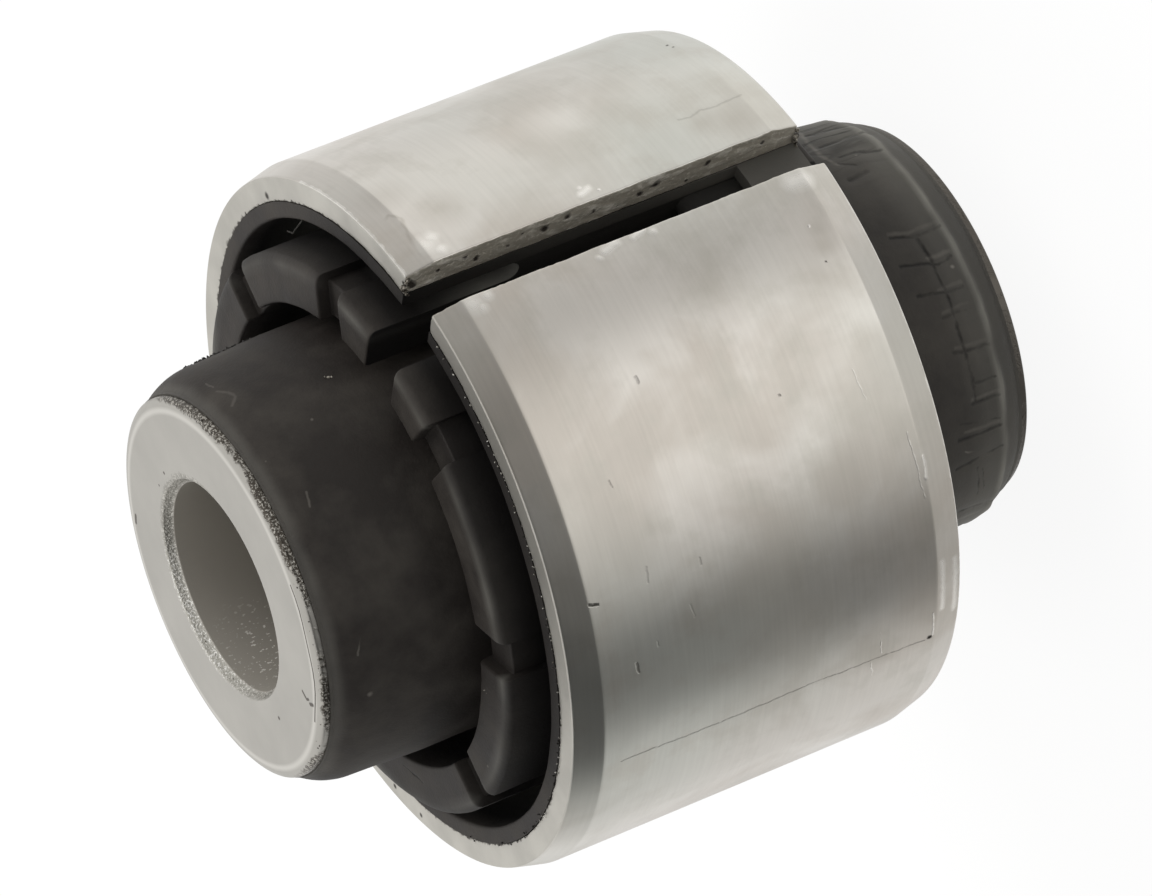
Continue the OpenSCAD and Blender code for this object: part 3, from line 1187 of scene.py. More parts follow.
def run_tree(
    name: str, base: bpy.types.Mesh, tree: Tree, sizes: dict[str, object]
) -> bpy.types.Object:
    """Runs a geometry tree on a base mesh and keeps the result as a plain mesh piece.

    Args:
        name: The piece's name.
        base: The mesh that goes into the tree.
        tree: The geometry tree.
        sizes: Value for each named input.

    Returns:
        The finished piece, with no modifier left on it.
    """
    carrier = add_object(name + "_path", base)
    modifier = carrier.modifiers.new("make", "NODES")
    modifier.node_group = tree
    for item in tree.interface.items_tree:
        if item.item_type == "SOCKET" and item.in_out == "INPUT" and item.name in sizes:
            modifier[item.identifier] = sizes[item.name]
    carrier.update_tag()
    depsgraph = bpy.context.evaluated_depsgraph_get()
    mesh = bpy.data.meshes.new_from_object(carrier.evaluated_get(depsgraph))
    mesh.name = name
    carrier.modifiers.remove(modifier)
    bpy.data.objects.remove(carrier)
    return add_object(name, mesh)


def turned_tree() -> Tree:
    """Builds the tree that turns an outline round the axis into a closed solid.

    Returns:
        A tree with the inputs Steps Round, Outline Points and Material.
    """
    tree, given = new_tree(
        "turned_part", {"Steps Round": "Int", "Outline Points": "Int", "Material": "Material"}
    )
    steps, count = given["Steps Round"], given["Outline Points"]
    lines = add_node(tree, "Math", (steps, 1.0), operation="ADD")
    across = add_node(tree, "Math", (count, 1.0), operation="ADD")
    grid = add_node(tree, "GeometryNodeMeshGrid", {"Vertices X": lines, "Vertices Y": across})
    index = add_node(tree, "GeometryNodeInputIndex")
    line = add_node(tree, "Math", (index, across), operation="DIVIDE")
    line = add_node(tree, "Math", (line,), operation="FLOOR")
    station = add_node(tree, "Math", (index, across), operation="MODULO")
    station = add_node(tree, "Math", (station, count), operation="MODULO")
    place = add_node(tree, "GeometryNodeInputPosition")
    drawn = add_node(tree, "GeometryNodeSampleIndex", {
        "Geometry": given["Geometry"], "Value": place, "Index": station,
    }, data_type="FLOAT_VECTOR", domain="POINT")
    share = add_node(tree, "Math", (line, steps), operation="DIVIDE")
    angle = add_node(tree, "Math", (share, 2 * math.pi), operation="MULTIPLY")
    turned = add_node(
        tree, "VectorRotate", {"Vector": drawn, "Angle": angle}, rotation_type="Z_AXIS"
    )
    solid = add_node(tree, "GeometryNodeSetPosition", {"Geometry": grid, "Position": turned})
    solid = add_node(
        tree, "GeometryNodeMergeByDistance", {"Geometry": solid, "Distance": 0.0005 * MM}
    )
    solid = add_node(tree, "GeometryNodeSetShadeSmooth", (solid,))
    solid = add_node(tree, "GeometryNodeRealizeInstances", (solid,))
    solid = add_node(
        tree, "GeometryNodeSetMaterial", {"Geometry": solid, "Material": given["Material"]}
    )
    add_node(tree, "NodeGroupOutput", (solid,))
    return tree


def flecks_tree() -> Tree:
    """Builds the tree that sets small ragged flecks along a path.

    Returns:
        A tree with the inputs Spacing, Wander, Smallest, Largest, Seed and Material.
    """
    tree, given = new_tree("flecks_along_path", {
        "Spacing": "Float", "Wander": "Float", "Smallest": "Vector", "Largest": "Vector",
        "Seed": "Int", "Material": "Material",
    })
    path = add_node(tree, "GeometryNodeMeshToCurve", {"Mesh": given["Geometry"]})
    points = add_node(tree, "GeometryNodeCurveToPoints", {
        "Curve": path, "Length": given["Spacing"],
    }, mode="LENGTH")
    less = add_node(tree, "Math", (given["Wander"], -1.0), operation="MULTIPLY")
    wander, turn, size = [
        add_node(tree, "FunctionNodeRandomValue", {
            0: least, 1: most, "Seed": given["Seed"],
        }, data_type="FLOAT_VECTOR")
        for least, most in (
            (less, given["Wander"]),
            ((0.0,) * 3, (6.28,) * 3),
            (given["Smallest"], given["Largest"]),
        )
    ]
    points = add_node(tree, "GeometryNodeSetPosition", {"Geometry": points, "Offset": wander})
    fleck = add_node(tree, "GeometryNodeMeshIcoSphere", {"Radius": 1.0, "Subdivisions": 1})
    flecks = add_node(tree, "GeometryNodeInstanceOnPoints", {
        "Points": points, "Instance": fleck, "Rotation": turn, "Scale": size,
    })
    flecks = add_node(tree, "GeometryNodeRealizeInstances", (flecks,))
    flecks = add_node(
        tree, "GeometryNodeSetMaterial", {"Geometry": flecks, "Material": given["Material"]}
    )
    add_node(tree, "NodeGroupOutput", (flecks,))
    return tree


# Sub-assemblies


@dataclass
class OuterSleeve:
    """The steel sleeve: strip bent round, split along its side, with a lead-in at each end."""

    radius: float = 21.0
    wall: float = 1.9
    length: float = 25.0
    lead_in: float = 0.45
    lead_length: float = 1.75
    split: float = 2.75
    edge: float = 0.11
    step_round: float = 0.5
    step_along: float = 0.28
    step_in: float = 0.17
    side: SatinSteel = SatinSteel()
    ends: CutSteel = CutSteel()
    split_faces: ShearedSteel = ShearedSteel()

    def stations(self, size: float, step: float, extra: Iterable[float] = ()) -> Array:
        """Spaces points over a side of the strip, close together at its edges.

        Args:
            size: Length of the side.
            step: Spacing away from the edges.
            extra: More places that need a point.

        Returns:
            The places, from 0 to the size.
        """
        near = np.array([0, 0.3, 0.6, 1.0, 1.8]) * self.edge
        body = np.linspace(near[-1] + step / 2, size - near[-1] - step / 2, int(size / step))
        places = np.concatenate([near, body, size - near, np.array(list(extra), float)])
        places = np.unique(np.round(places, 4))
        keep = np.concatenate([[True], np.diff(places) > 0.02])
        return places[keep]

    def build(self) -> bpy.types.Object:
        """Builds the strip as a block with rounded edges, tears its split faces and bends it round.

        Returns:
            The sleeve.
        """
        mean = self.radius - self.wall / 2
        around = 2 * math.pi * mean - self.split
        lead = [self.lead_length + d for d in (-0.16, -0.07, 0.0, 0.07, 0.16)]
        both = lead + [self.length - d for d in lead]
        stops = (
            self.stations(around, self.step_round),
            self.stations(self.length, self.step_along, both),
            self.stations(self.wall, self.step_in),
        )
        grid = np.stack(np.meshgrid(*stops, indexing="ij"), axis=-1)
        shape = grid.shape[:3]
        index = np.arange(int(np.prod(shape))).reshape(shape)
        # Each sheet of the block, whether its faces are turned over, and its finish.
        faces, kinds = [], []
        for sheet, turned, kind in (
            (index[:, :, -1], False, 0),
            (index[:, :, 0], True, 0),
            (index[:, -1, :], True, 1),
            (index[:, 0, :], False, 1),
            (index[0, :, :], True, 2),
            (index[-1, :, :], False, 2),
        ):
            quad = np.stack(
                [sheet[:-1, :-1], sheet[1:, :-1], sheet[1:, 1:], sheet[:-1, 1:]], axis=-1
            ).reshape(-1, 4)
            faces.append(quad[:, ::-1] if turned else quad)
            kinds.append(np.full(len(quad), kind))
        faces, kinds = np.concatenate(faces), np.concatenate(kinds)
        used, faces = np.unique(faces, return_inverse=True)
        faces = faces.reshape(-1, 4)
        block = grid.reshape(-1, 3)[used]
        block = self._ease_edges(block, np.array([around, self.length, self.wall]))
        block = self._tear(block, around)
        points = self._bend(block, around)
        piece = make_mesh("outer_sleeve_steel", points, faces, 40)
        set_wrap(piece, block[:, :2])
        for finish in (self.side, self.ends, self.split_faces):
            piece.data.materials.append(finish.material())
        piece.data.polygons.foreach_set("material_index", kinds.astype(np.int32))
        return piece

    def _ease_edges(self, block: Array, size: Array) -> Array:
        """Rounds every edge of the straight strip.

        Args:
            block: Points on the sharp block.
            size: Its length round, its length along and its wall.

        Returns:
            Points on the rounded block.
        """
        core = np.clip(block, self.edge, size - self.edge)
        away = block - core
        reach = np.linalg.norm(away, axis=1, keepdims=True)
        return core + away / np.maximum(reach, 1e-9) * self.edge

    def _tear(self, block: Array, around: float) -> Array:
        """Roughens the split faces as shearing leaves them, and wavers the long edges a little.

        Args:
            block: Points on the straight strip.
            around: Its length round.

        Returns:
            The roughened points.
        """
        place = block.copy()
        place[:, 0] = np.where(block[:, 0] < around / 2, 0.0, 40.0)
        near = np.minimum(block[:, 0], around - block[:, 0])
        share = ramp(near, 0.3, 0)
        # Shearing leaves hills about a millimetre wide, with finer ones on them.
        coarse = waves(place * np.array([1, 0.5, 1]), 0.9, 3.1)
        fine = waves(place, 0.3, 7.7)
        depth = (0.05 * coarse + 0.04 * fine + 0.06) * share
        inward = np.where(block[:, 0] < around / 2, 1.0, -1.0)
        moved = block.copy()
        moved[:, 0] += inward * depth
        from_end = np.minimum(block[:, 1], self.length - block[:, 1])
        inner = ramp(block[:, 2], 0.35, 0) * ramp(from_end, 0.2, 0)
        toward = np.where(block[:, 1] < self.length / 2, 1.0, -1.0)
        ragged = waves(block, 0.7, 11.3)
        moved[:, 1] += toward * inner * (0.05 + 0.08 * ragged)
        return moved

    def _bend(self, block: Array, around: float) -> Array:
        """Bends the straight strip into the sleeve and forms the lead-ins.

        Args:
            block: Points on the straight strip.
            around: Its length round.

        Returns:
            Points in the CAD frame.
        """
        from_end = np.minimum(block[:, 1], self.length - block[:, 1])
        slope = self.lead_in / self.lead_length
        # The lead-in meets the side by a bend this long.
        soft = 0.03
        short = (self.lead_length - from_end) / soft
        drop = slope * soft * np.logaddexp(0, np.clip(short, -40, 40))
        drop = np.where(short > 30, slope * (self.lead_length - from_end), drop)
        inner = self.radius - self.wall
        share = block[:, 2] / self.wall
        outer = self.radius - drop
        radius = inner + share * (outer - inner)
        swell = 0.008 * waves(block, 9.0, 5.5) * np.clip(share, 0, 1)
        radius = radius + swell
        half = np.arcsin(self.split / 2 / radius)
        turn = half + (2 * math.pi - 2 * half) * block[:, 0] / around - math.pi / 2
        height = MIDDLE - self.length / 2 + block[:, 1]
        return round_axis(radius, turn, height)

    def place(self) -> None:
        """Builds the sleeve and ties it to the frame."""
        piece = self.build()
        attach(piece, BODY)
        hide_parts("outer_sleeve")
        report(piece)


@dataclass(frozen=True)
class Spoke:
    """One line of the moulding, seen along the axis: a straight cut line or a share of a pad."""

    turn: float
    offset: float
    height: float
    cut: Cut


@dataclass(frozen=True)
class Skin:
    """The moulding's corners in millimetres: each place, and its radius and level as drawn."""

    points: Array
    radius: Array
    level: Array

    @property
    def height(self) -> Array:
        """Height above the lower tube face."""
        return self.points[:, 2]

    @property
    def azimuth(self) -> Array:
        """Direction from +X, in degrees from -180 to 180."""
        return np.degrees(np.arctan2(self.points[:, 1], self.points[:, 0]))


@dataclass
class RubberMoulding:
    """The rubber: bosses on the tube, notched stop rings, lining, and the slit behind the split."""

    tube_radius: float = 11.25
    boss_radius: float = 12.4
    tip_radius: float = 12.2
    lower_tip_radius: float = 12.27
    lip_radius: float = 11.35
    lower_lip_radius: float = 11.5
    sleeve_inside: float = 19.1
    lining: float = 1.0
    groove: float = 1.4
    sleeve_length: float = 25.0
    tube_length: float = 46.0
    bare: float = 0.6
    lip_length: float = 0.2
    tip_length: float = 2.2
    draft_length: float = 4.5
    inner_depth: float = 8.5
    outer_depth: float = 7.5
    ring_rise: float = 1.1
    pad_height: float = 0.8
    pad_edge: tuple[float, float] = (0.65, 0.45)
    notch: float = 2.3
    first_notch: float = 21.5
    notch_pitch: float = 45.0
    notch_count: int = 3
    channel: float = 0.5
    split: float = 2.75
    web: float = 3.8
    edge: float = 0.16
    lean: float = 0.03
    channel_edge: tuple[float, float] = (0.2, 0.12)
    lining_edge: float = 0.18
    pad_step: float = 0.45
    finish: MouldedRubber = MouldedRubber()

    def _gap_lines(self, turn: float, width: float, cut: Cut) -> list[Spoke]:
        """Gives the lines of one notch or of the slit, and of the pads' rounded edges beside it.

        Args:
            turn: Turn of its middle from the split, in degrees.
            width: Its width.
            cut: What it is.

        Returns:
            Its lines, from one side to the other.
        """
        # The wall of a gap has a rounded foot, leans out a little and ends in a rounded edge.
        half = width / 2
        side = [(half - 0.12, 0.0, True), (half - 0.04, 0.015, True), (half, 0.06, True)]
        rim = 1 - self.edge / self.pad_height
        top = half + self.lean
        for degrees in (0, 25, 50, 75, 90):
            turned = math.radians(degrees)
            out = top + self.edge * (1 - math.cos(turned))
            side.append((out, rim + (1 - rim) * math.sin(turned), False))
        side.append((top + self.edge + 0.2, 1.0, False))
        right = [Spoke(turn, x, h, cut if inside else Cut.NOTHING) for x, h, inside in side]
        left = [Spoke(turn, -s.offset, s.height, s.cut) for s in reversed(right)]
        floor = [Spoke(turn, x * half, 0.0, cut) for x in (-0.5, 0.0, 0.5)]
        return left + floor + right

    def spokes(self) -> list[tuple[Spoke, Spoke | None, float]]:
        """Lays out all lines round the moulding.

        Returns:
            For each line its spoke, and for a line on a pad the next spoke and the share of the
            way to it.
        """
        turns = [self.first_notch + i * self.notch_pitch for i in range(self.notch_count)]
        gaps = [(-a, self.notch, Cut.NOTCH) for a in reversed(turns)]
        gaps += [(0.0, self.split, Cut.SLIT)]
        gaps += [(a, self.notch, Cut.NOTCH) for a in turns]
        groups = [self._gap_lines(*gap) for gap in gaps]
        lines: list[tuple[Spoke, Spoke | None, float]] = []
        middle = (self.boss_radius + self.sleeve_inside) / 2
        for number, group in enumerate(groups):
            lines += [(spoke, None, 0.0) for spoke in group]
            after = groups[(number + 1) % len(groups)][0]
            if number + 1 == len(groups):
                after = Spoke(after.turn + 360, after.offset, after.height, after.cut)
            start = math.radians(group[-1].turn) + group[-1].offset / middle
            end = math.radians(after.turn) + after.offset / middle
            count = max(2, int((end - start) * middle / self.pad_step))
            lines += [(group[-1], after, i / count) for i in range(1, count)]
        return lines

    @staticmethod
    def _turn_at(spoke: Spoke, radius: Array) -> Array:
        """Gives the turn of a straight cut line where it crosses each radius.

        Args:
            spoke: The line.
            radius: The radii.

        Returns:
            Turns from the split, in radians.
        """
        return math.radians(spoke.turn) + np.arcsin(np.clip(spoke.offset / radius, -1, 1))

    def half_outline(self, height: float, cut: Cut, end: End) -> Array:
        """Draws the outline of one end, from the middle of the tube wall out to the sleeve.

        Args:
            height: Share of the pad's height at this line.
            cut: What is cut here.
            end: The end, because the lower boss narrows less.

        Returns:
            Radius and height above the middle plane, with the same count of points for any cut.
        """
        face = self.sleeve_length / 2
        lip_end = self.tube_length / 2 - self.bare
        tip_end = lip_end - self.lip_length
        tip_start = tip_end - self.tip_length
        side_start = tip_start - self.draft_length
        lining_in = self.sleeve_inside - self.lining
        ring_in = self.boss_radius + self.groove
        ring_out = lining_in - self.groove
        half = self.groove / 2
        inner_floor = face - self.inner_depth
        outer_floor = face - self.outer_depth
        top = face + self.ring_rise + height * self.pad_height
        tip_radius = self.tip_radius if end is End.UPPER else self.lower_tip_radius
        lip_radius = self.lip_radius if end is End.UPPER else self.lower_lip_radius
        drop = tip_radius - lip_radius
        arc = (self.tip_length**2 + drop**2) / (2 * drop)
        # Each stretch is cut into as many parts for every cut, so that the lines can be lofted.
        path = Outline(self.tube_radius, 0.0)
        path.line_to(self.tube_radius, lip_end, 3)
        path.line_to(lip_radius, lip_end).line_to(lip_radius, tip_end)
        for i in range(11, -1, -1):
            up = self.tip_length * i / 12
            path.line_to(tip_radius - arc + math.sqrt(arc**2 - up**2), tip_start + up)
        path.line_to(self.boss_radius, side_start, 18)
        path.line_to(self.boss_radius, face - 2, 10)
        path.line_to(self.boss_radius, inner_floor + half, 5)
        path.round_to(self.boss_radius + half, inner_floor, Leaving.ALONG, 4)
        if cut is Cut.SLIT:
            web_top = self.web - face
            path.line_to(self.boss_radius + half, web_top, 4)
            path.line_to(self.sleeve_inside, web_top, 44)
            return path.array()
        path.round_to(ring_in, inner_floor + half, Leaving.OUTWARDS, 4)
        edge = self.edge
        path.line_to(ring_in, top - edge, 6)
        path.round_to(ring_in + edge, top, Leaving.ALONG, 3)
        wide, low = self.pad_edge
        if cut is Cut.NOTCH:
            bottom = ring_out - self.channel
            wide, low = self.channel_edge
            path.line_to(bottom - wide, top, 4)
            path.round_to(bottom, top - low, Leaving.OUTWARDS, 7)
            path.line_to(bottom, outer_floor + self.groove, 4)
            path.line_to(ring_out, outer_floor + self.groove)
            path.line_to(ring_out, outer_floor + half)
        else:
            wide, low = wide * (0.3 + 0.7 * height), low * (0.3 + 0.7 * height)
            path.line_to(ring_out - wide, top, 4)
            path.round_to(ring_out, top - low, Leaving.OUTWARDS, 7)
            path.line_to(ring_out, outer_floor + half, 6)
        path.round_to(ring_out + half, outer_floor, Leaving.ALONG, 4)
        path.round_to(lining_in, outer_floor + half, Leaving.OUTWARDS, 4)
        path.line_to(lining_in, face - self.lining_edge, 5)
        path.round_to(lining_in + self.lining_edge, face, Leaving.ALONG, 3)
        path.line_to(self.sleeve_inside, face, 2)
        return path.array()

    def build(self) -> bpy.types.Object:
        """Lofts the outlines round the axis and gives the rubber its small unevenness.

        Returns:
            The moulding.
        """
        rows, marks = [], []
        for spoke, after, share in self.spokes():
            height = spoke.height if after is None else 1.0
            cut = spoke.cut if after is None else Cut.NOTHING
            lower_cut = Cut.NOTHING if cut is Cut.SLIT else cut
            upper = self.half_outline(height, cut, End.UPPER)
            lower = self.half_outline(height, lower_cut, End.LOWER) * np.array([1, -1])
            wall = np.linspace(upper[-1], lower[-1], 7)[1:-1]
            loop = np.concatenate([upper, wall, lower[:0:-1]])
            turn = self._turn_at(spoke, loop[:, 0])
            if after is not None:
                turn = turn + share * (self._turn_at(after, loop[:, 0]) - turn)
            rows.append(round_axis(loop[:, 0], turn - math.pi / 2, loop[:, 1] + MIDDLE))
            marks.append(loop)
        points = np.stack(rows)
        count = points.shape[1]
        piece = make_mesh(
            "rubber_moulding", points.reshape(-1, 3), loft_faces(len(rows), count), 34
        )
        self._unevenness(piece, np.stack(marks).reshape(-1, 2))
        piece.data.materials.append(self.finish.material())
        return piece

    def _unevenness(self, piece: bpy.types.Object, drawn: Array) -> None:
        """Moves the free skin of the moulding in and out a little, and presses the creases in.

        Args:
            piece: The moulding.
            drawn: Radius and height above the middle plane that each corner was drawn at.
        """
        mesh = piece.data
        points = np.empty(drawn.shape[0] * 3, np.float32)
        normals = points.copy()
        mesh.vertices.foreach_get("co", points)
        mesh.vertex_normals.foreach_get("vector", normals)
        points, normals = points.reshape(-1, 3).astype(float) / MM, normals.reshape(-1, 3)
        skin = Skin(points, drawn[:, 0], drawn[:, 1])
        bead, puckered = self._bead(skin), self._puckered(skin)
        shift = 0.035 * waves(points, 3.2, 2.2) + 0.012 * waves(points, 0.9, 4.4)
        shift += bead - crease_depth(points)
        shift += puckered * (0.08 * waves(points * np.array([1, 1, 0.35]), 0.9, 7.7) + 0.03)
        # One side of the lower boss swells above its parting line and is drawn in below it.
        swell = bell(skin.azimuth, -38, 16) * self._on_boss(skin)
        shift += 0.13 * swell * bell(skin.height, 4.4, 1.5)
        shift -= 0.12 * swell * bell(skin.height, 1.9, 0.3)
        bonded = (skin.radius < self.tube_radius + 0.01) | (skin.radius > self.sleeve_inside - 0.01)
        shift = np.where(bonded, 0.0, shift)
        moved = (points + normals * shift[:, None]) * MM
        mesh.vertices.foreach_set("co", moved.astype(np.float32).ravel())
        store_shares(mesh, "dust_and_light", self._dust_and_light(skin, bead))
        store_shares(mesh, "painted_shade", self._painted_shade(skin))
        store_shares(mesh, "puckered", puckered)
        mesh.update()

    def _on_boss(self, skin: Skin) -> Array:
        """Tells which corners lie on a boss or on the tube."""
        return skin.radius < self.boss_radius + 0.1

    def _bead(self, skin: Skin) -> Array:
        """Raises the wavy bead that the mould's parting line leaves round the lower boss.

        Args:
            skin: The moulding's corners.

        Returns:
            Height of the bead at each corner.
        """
        ring = round_axis(self.boss_radius, np.radians(skin.azimuth), 0.0)
        line_at = 2.15 + 0.22 * waves(ring, 3.0, 8.8) + 0.07 * waves(ring, 0.8, 6.1)
        on_boss = self._on_boss(skin) & (skin.height < 6)
        strength = np.clip(0.75 + 0.6 * waves(ring, 2.2, 1.9), 0.2, 1.0)
        return np.where(on_boss, 0.16 * strength * bell(skin.height, line_at, 0.21), 0)

    def _puckered(self, skin: Skin) -> Array:
        """Tells how far the skin of the lower boss is drawn up in fine creases.

        Args:
            skin: The moulding's corners.

        Returns:
            Share of puckers at each corner, from 0 to 1.
        """
        round_at = bell(skin.azimuth, -55, 17)
        along = ramp(skin.height, 2.2, 2.8) * ramp(skin.height, 7.2, 5.6)
        on_boss = self._on_boss(skin) & (skin.radius > self.tube_radius + 0.1)
        return np.where(on_boss & (skin.height < 9), round_at * along, 0.0)

    def _dust_and_light(self, skin: Skin, bead: Array) -> Array:
        """Tells where the rubber is painted paler: dust and painted light on the lower boss,
        painted highlights on its parting bead, on the upper tip and on the pads' edges, painted
        light in the slit, and paler skin deep in the grooves.

        Args:
            skin: The moulding's corners.
            bead: Height of the parting bead at each corner, whose crest is painted paler as a
                painted highlight.

        Returns:
            Share of dust and painted light at each corner, from 0 to 1.
        """
        # On the lower boss it is paler on two sides, as a painted sheen where light falls on them,
        # and paler towards the bottom, partly dust and partly painted light.
        paler_side = np.interp(
            skin.azimuth % 360,
            [100, 150, 165, 182, 205, 240, 270, 298, 313, 328, 350],
            [0.05, 0.4, 0.34, 0.16, 0.06, 0.05, 0.08, 0.18, 0.24, 0.4, 0.05],
        )
        low = ramp(skin.height, 9.0, 5.0) * (skin.radius < self.boss_radius + 0.7)
        low = low * (paler_side + 0.13 * ramp(skin.height, 4.6, 3.2) + 3.6 * bead)
        # The upper tip just below the lip is painted paler, as a painted highlight.
        tip = 0.12 * ramp(skin.height + 0.2 * waves(skin.points, 1.6, 5.2), 44.6, 45.1)
        in_slit = (
            (np.abs(skin.points[:, 0]) < self.split / 2 + 0.08)
            & (skin.points[:, 1] < -self.boss_radius)
            & (skin.height < 35)
        )
        # The rounded outer edges of the pad tops are painted paler, as painted highlights.
        on_pad_top = skin.level > self.sleeve_length / 2 + self.ring_rise + 0.3
        edge = bell(skin.radius, 16.2, 0.26) * np.clip(0.5 + waves(skin.points, 2.6, 3.1), 0.1, 1)
        edge = np.where(on_pad_top & (skin.radius > 15.4) & (skin.radius < 16.8), 0.2 * edge, 0.0)
        # Deep inside the lining the rubber is made paler.
        inside = (skin.radius > self.boss_radius + 0.1) & self._within_lining(skin)
        paler_deep = 0.4 * inside * ramp(np.abs(skin.level), 10.5, 7.0)
        # In the slit the rubber is painted a little paler as painted light, more on the web.
        in_gap = np.where(self._on_web(skin), 0.2, 0.05)
        return np.where(in_slit, in_gap, np.clip(low + tip + edge + paler_deep, 0, 1))

    def _within_lining(self, skin: Skin) -> Array:
        """Tells which corners lie no further out than the lining's inner wall."""
        return skin.radius < self.sleeve_inside - self.lining + 0.05

    def _on_web(self, skin: Skin) -> Array:
        """Tells which corners lie on the outer side of the web that closes the slit below."""
        return (skin.radius > self.sleeve_inside - 0.9) & (skin.height < 15)

    def _painted_shade(self, skin: Skin) -> Array:
        """Tells where the rubber is painted in shade: down in the grooves and the slit, on the
        pads' outer parts and on part of the lining's rim.

        Args:
            skin: The moulding's corners.

        Returns:
            Share of painted shade at each corner, from 0 to 1.
        """
        face = self.sleeve_length / 2
        floor = face + self.ring_rise
        ring_in = self.boss_radius + self.groove
        deep = ramp(np.abs(skin.level), floor + 0.4, floor - 1.2)
        outer = ramp(skin.radius, ring_in - 0.3, ring_in)
        inner = (skin.radius > self.boss_radius + 0.05) & (np.abs(skin.level) < face - 1)
        turned = skin.azimuth % 360
        # The pads' outer parts are painted in shade too, least beside the split.
        side = np.interp(turned, [236, 254, 300, 322], [0.55, 0.12, 0.12, 0.55])
        side = side * ramp(skin.radius, 15.3, 16.5)
        painted_shade = np.maximum(np.maximum(deep * outer, inner), side)
        painted_shade = np.where(self._within_lining(skin), painted_shade, 0.0)
        # The walls of the slit are painted in full shade, and the web that closes it below only a
        # little.
        in_slit = (
            (np.abs(skin.points[:, 0]) < self.split / 2 + 0.06)
            & (skin.points[:, 1] < -self.boss_radius - 0.2)
            & (np.abs(skin.level) < floor + 0.75)
        )
        # The lining's rim is painted in shade only from about 175 to 300 degrees round.
        rim = (skin.radius > self.sleeve_inside - self.lining - 0.1) & (skin.level > face - 0.3)
        shaded = 0.7 * ramp(turned, 165, 185) * ramp(turned, 308, 292)
        painted_shade = np.where(rim, shaded, painted_shade)
        in_gap = np.where(self._on_web(skin), 0.2, 1.0)
        return np.where(in_slit, in_gap, painted_shade)

    def place(self) -> None:
        """Builds the moulding and ties it to the frame."""
        piece = self.build()
        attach(piece, BODY)
        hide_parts("rubber_body")
        report(piece)


@dataclass
class BoltTube:
    """The steel tube that takes the bolt: turned outside, faced at both ends and bored through."""

    radius: float = 11.25
    bore: float = 6.2
    length: float = 46.0
    mouth: tuple[float, float] = (0.4, 0.5)
    rim: tuple[float, float] = (0.9, 0.35)
    lower_rim: tuple[float, float] = (0.3, 0.16)
    steps_round: int = 288
    faces: FacedSteel = FacedSteel()
    wall: BoredSteel = BoredSteel()

    def outline(self) -> Array:
        """Draws the cut through the tube wall, up the bore and down the outside.

        Returns:
            Radius and height of each point, closed on itself.
        """
        out, deep = self.mouth
        wide, low = self.rim
        top = self.length
        path = Outline(self.bore, deep + 0.05)
        path.line_to(self.bore, top - deep - 0.05, 24)
        path.round_to(self.bore + 0.06, top - deep + 0.03, Leaving.ALONG, 3)
        path.line_to(self.bore + out - 0.05, top - 0.05, 3)
        path.round_to(self.bore + out + 0.05, top, Leaving.ALONG, 3)
        path.line_to(self.radius - wide - 0.05, top, 8)
        path.round_to(self.radius, top - low, Leaving.OUTWARDS, 8)
        wide, low = self.lower_rim
        path.line_to(self.radius, low, 24)
        path.round_to(self.radius - wide, 0.0, Leaving.ALONG, 8)
        path.line_to(self.bore + out + 0.05, 0.0, 8)
        path.round_to(self.bore + out - 0.05, 0.05, Leaving.OUTWARDS, 3)
        path.line_to(self.bore + 0.06, deep - 0.03, 3)
        path.round_to(self.bore, deep + 0.05, Leaving.OUTWARDS, 3)
        return path.array()[:-1]

    def build(self) -> bpy.types.Object:
        """Turns the outline with geometry nodes, and gives the bore wall its own finish.

        Returns:
            The tube.
        """
        path = self.outline()
        count = len(path)
        base = bpy.data.meshes.new("bolt_tube_outline")
        corners = [(r * MM, 0.0, z * MM) for r, z in path]
        base.from_pydata(corners, [(i, (i + 1) % count) for i in range(count)], [])
        face_steel = self.faces.material()
        piece = run_tree("bolt_tube_steel", base, turned_tree(), {
            "Steps Round": self.steps_round, "Outline Points": count, "Material": face_steel,
        })
        mesh = piece.data
        mesh.materials.clear()
        for steel in (face_steel, self.wall.material()):
            mesh.materials.append(steel)
        for polygon in mesh.polygons:
            centre = polygon.center / MM
            polygon.material_index = int(math.hypot(centre.x, centre.y) < self.bore + 0.03)
        mesh.set_sharp_from_angle(angle=math.radians(40))
        return piece

    def place(self) -> None:
        """Builds the tube and ties it to the frame."""
        piece = self.build()
        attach(piece, BODY)
        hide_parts("bolt_tube")
        report(piece)


@dataclass(frozen=True)
class Flecks:
    """Small loose or torn bits along a path: steel sparks, rubber flash, burrs or crumbs."""

    name: str
    finish: Finish
    slot: str
    path: tuple[Point, ...]
    spacing: float
    wander: float
    smallest: Point
    largest: Point
    seed: int

    def build(self) -> bpy.types.Object:
        """Strews the flecks along the path with geometry nodes.

        Returns:
            All flecks as one piece.
        """
        base = bpy.data.meshes.new(self.name + "_path")
        edges = [(i, i + 1) for i in range(len(self.path) - 1)]
        base.from_pydata([tuple(c * MM for c in p) for p in self.path], edges, [])
        material = self.finish.material()
        piece = run_tree(self.name, base, flecks_tree(), {
            "Spacing": self.spacing * MM,
            "Wander": self.wander * MM,
            "Smallest": tuple(c * MM for c in self.smallest),
            "Largest": tuple(c * MM for c in self.largest),
            "Seed": self.seed,
            "Material": material,
        })
        piece.data.materials.clear()
        piece.data.materials.append(material)
        return piece

    def place(self) -> None:
        """Builds the flecks and ties them to the frame."""
        piece = self.build()
        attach(piece, BODY)
        report(piece)


def ring_path(radius: float, height: float, start: float, end: float) -> tuple[Point, ...]:
    """Gives a path round the axis, one place every 3 degrees."""
    count = max(2, int(abs(end - start) / 3))
    return tuple(at(radius, start + (end - start) * i / count, height) for i in range(count + 1))


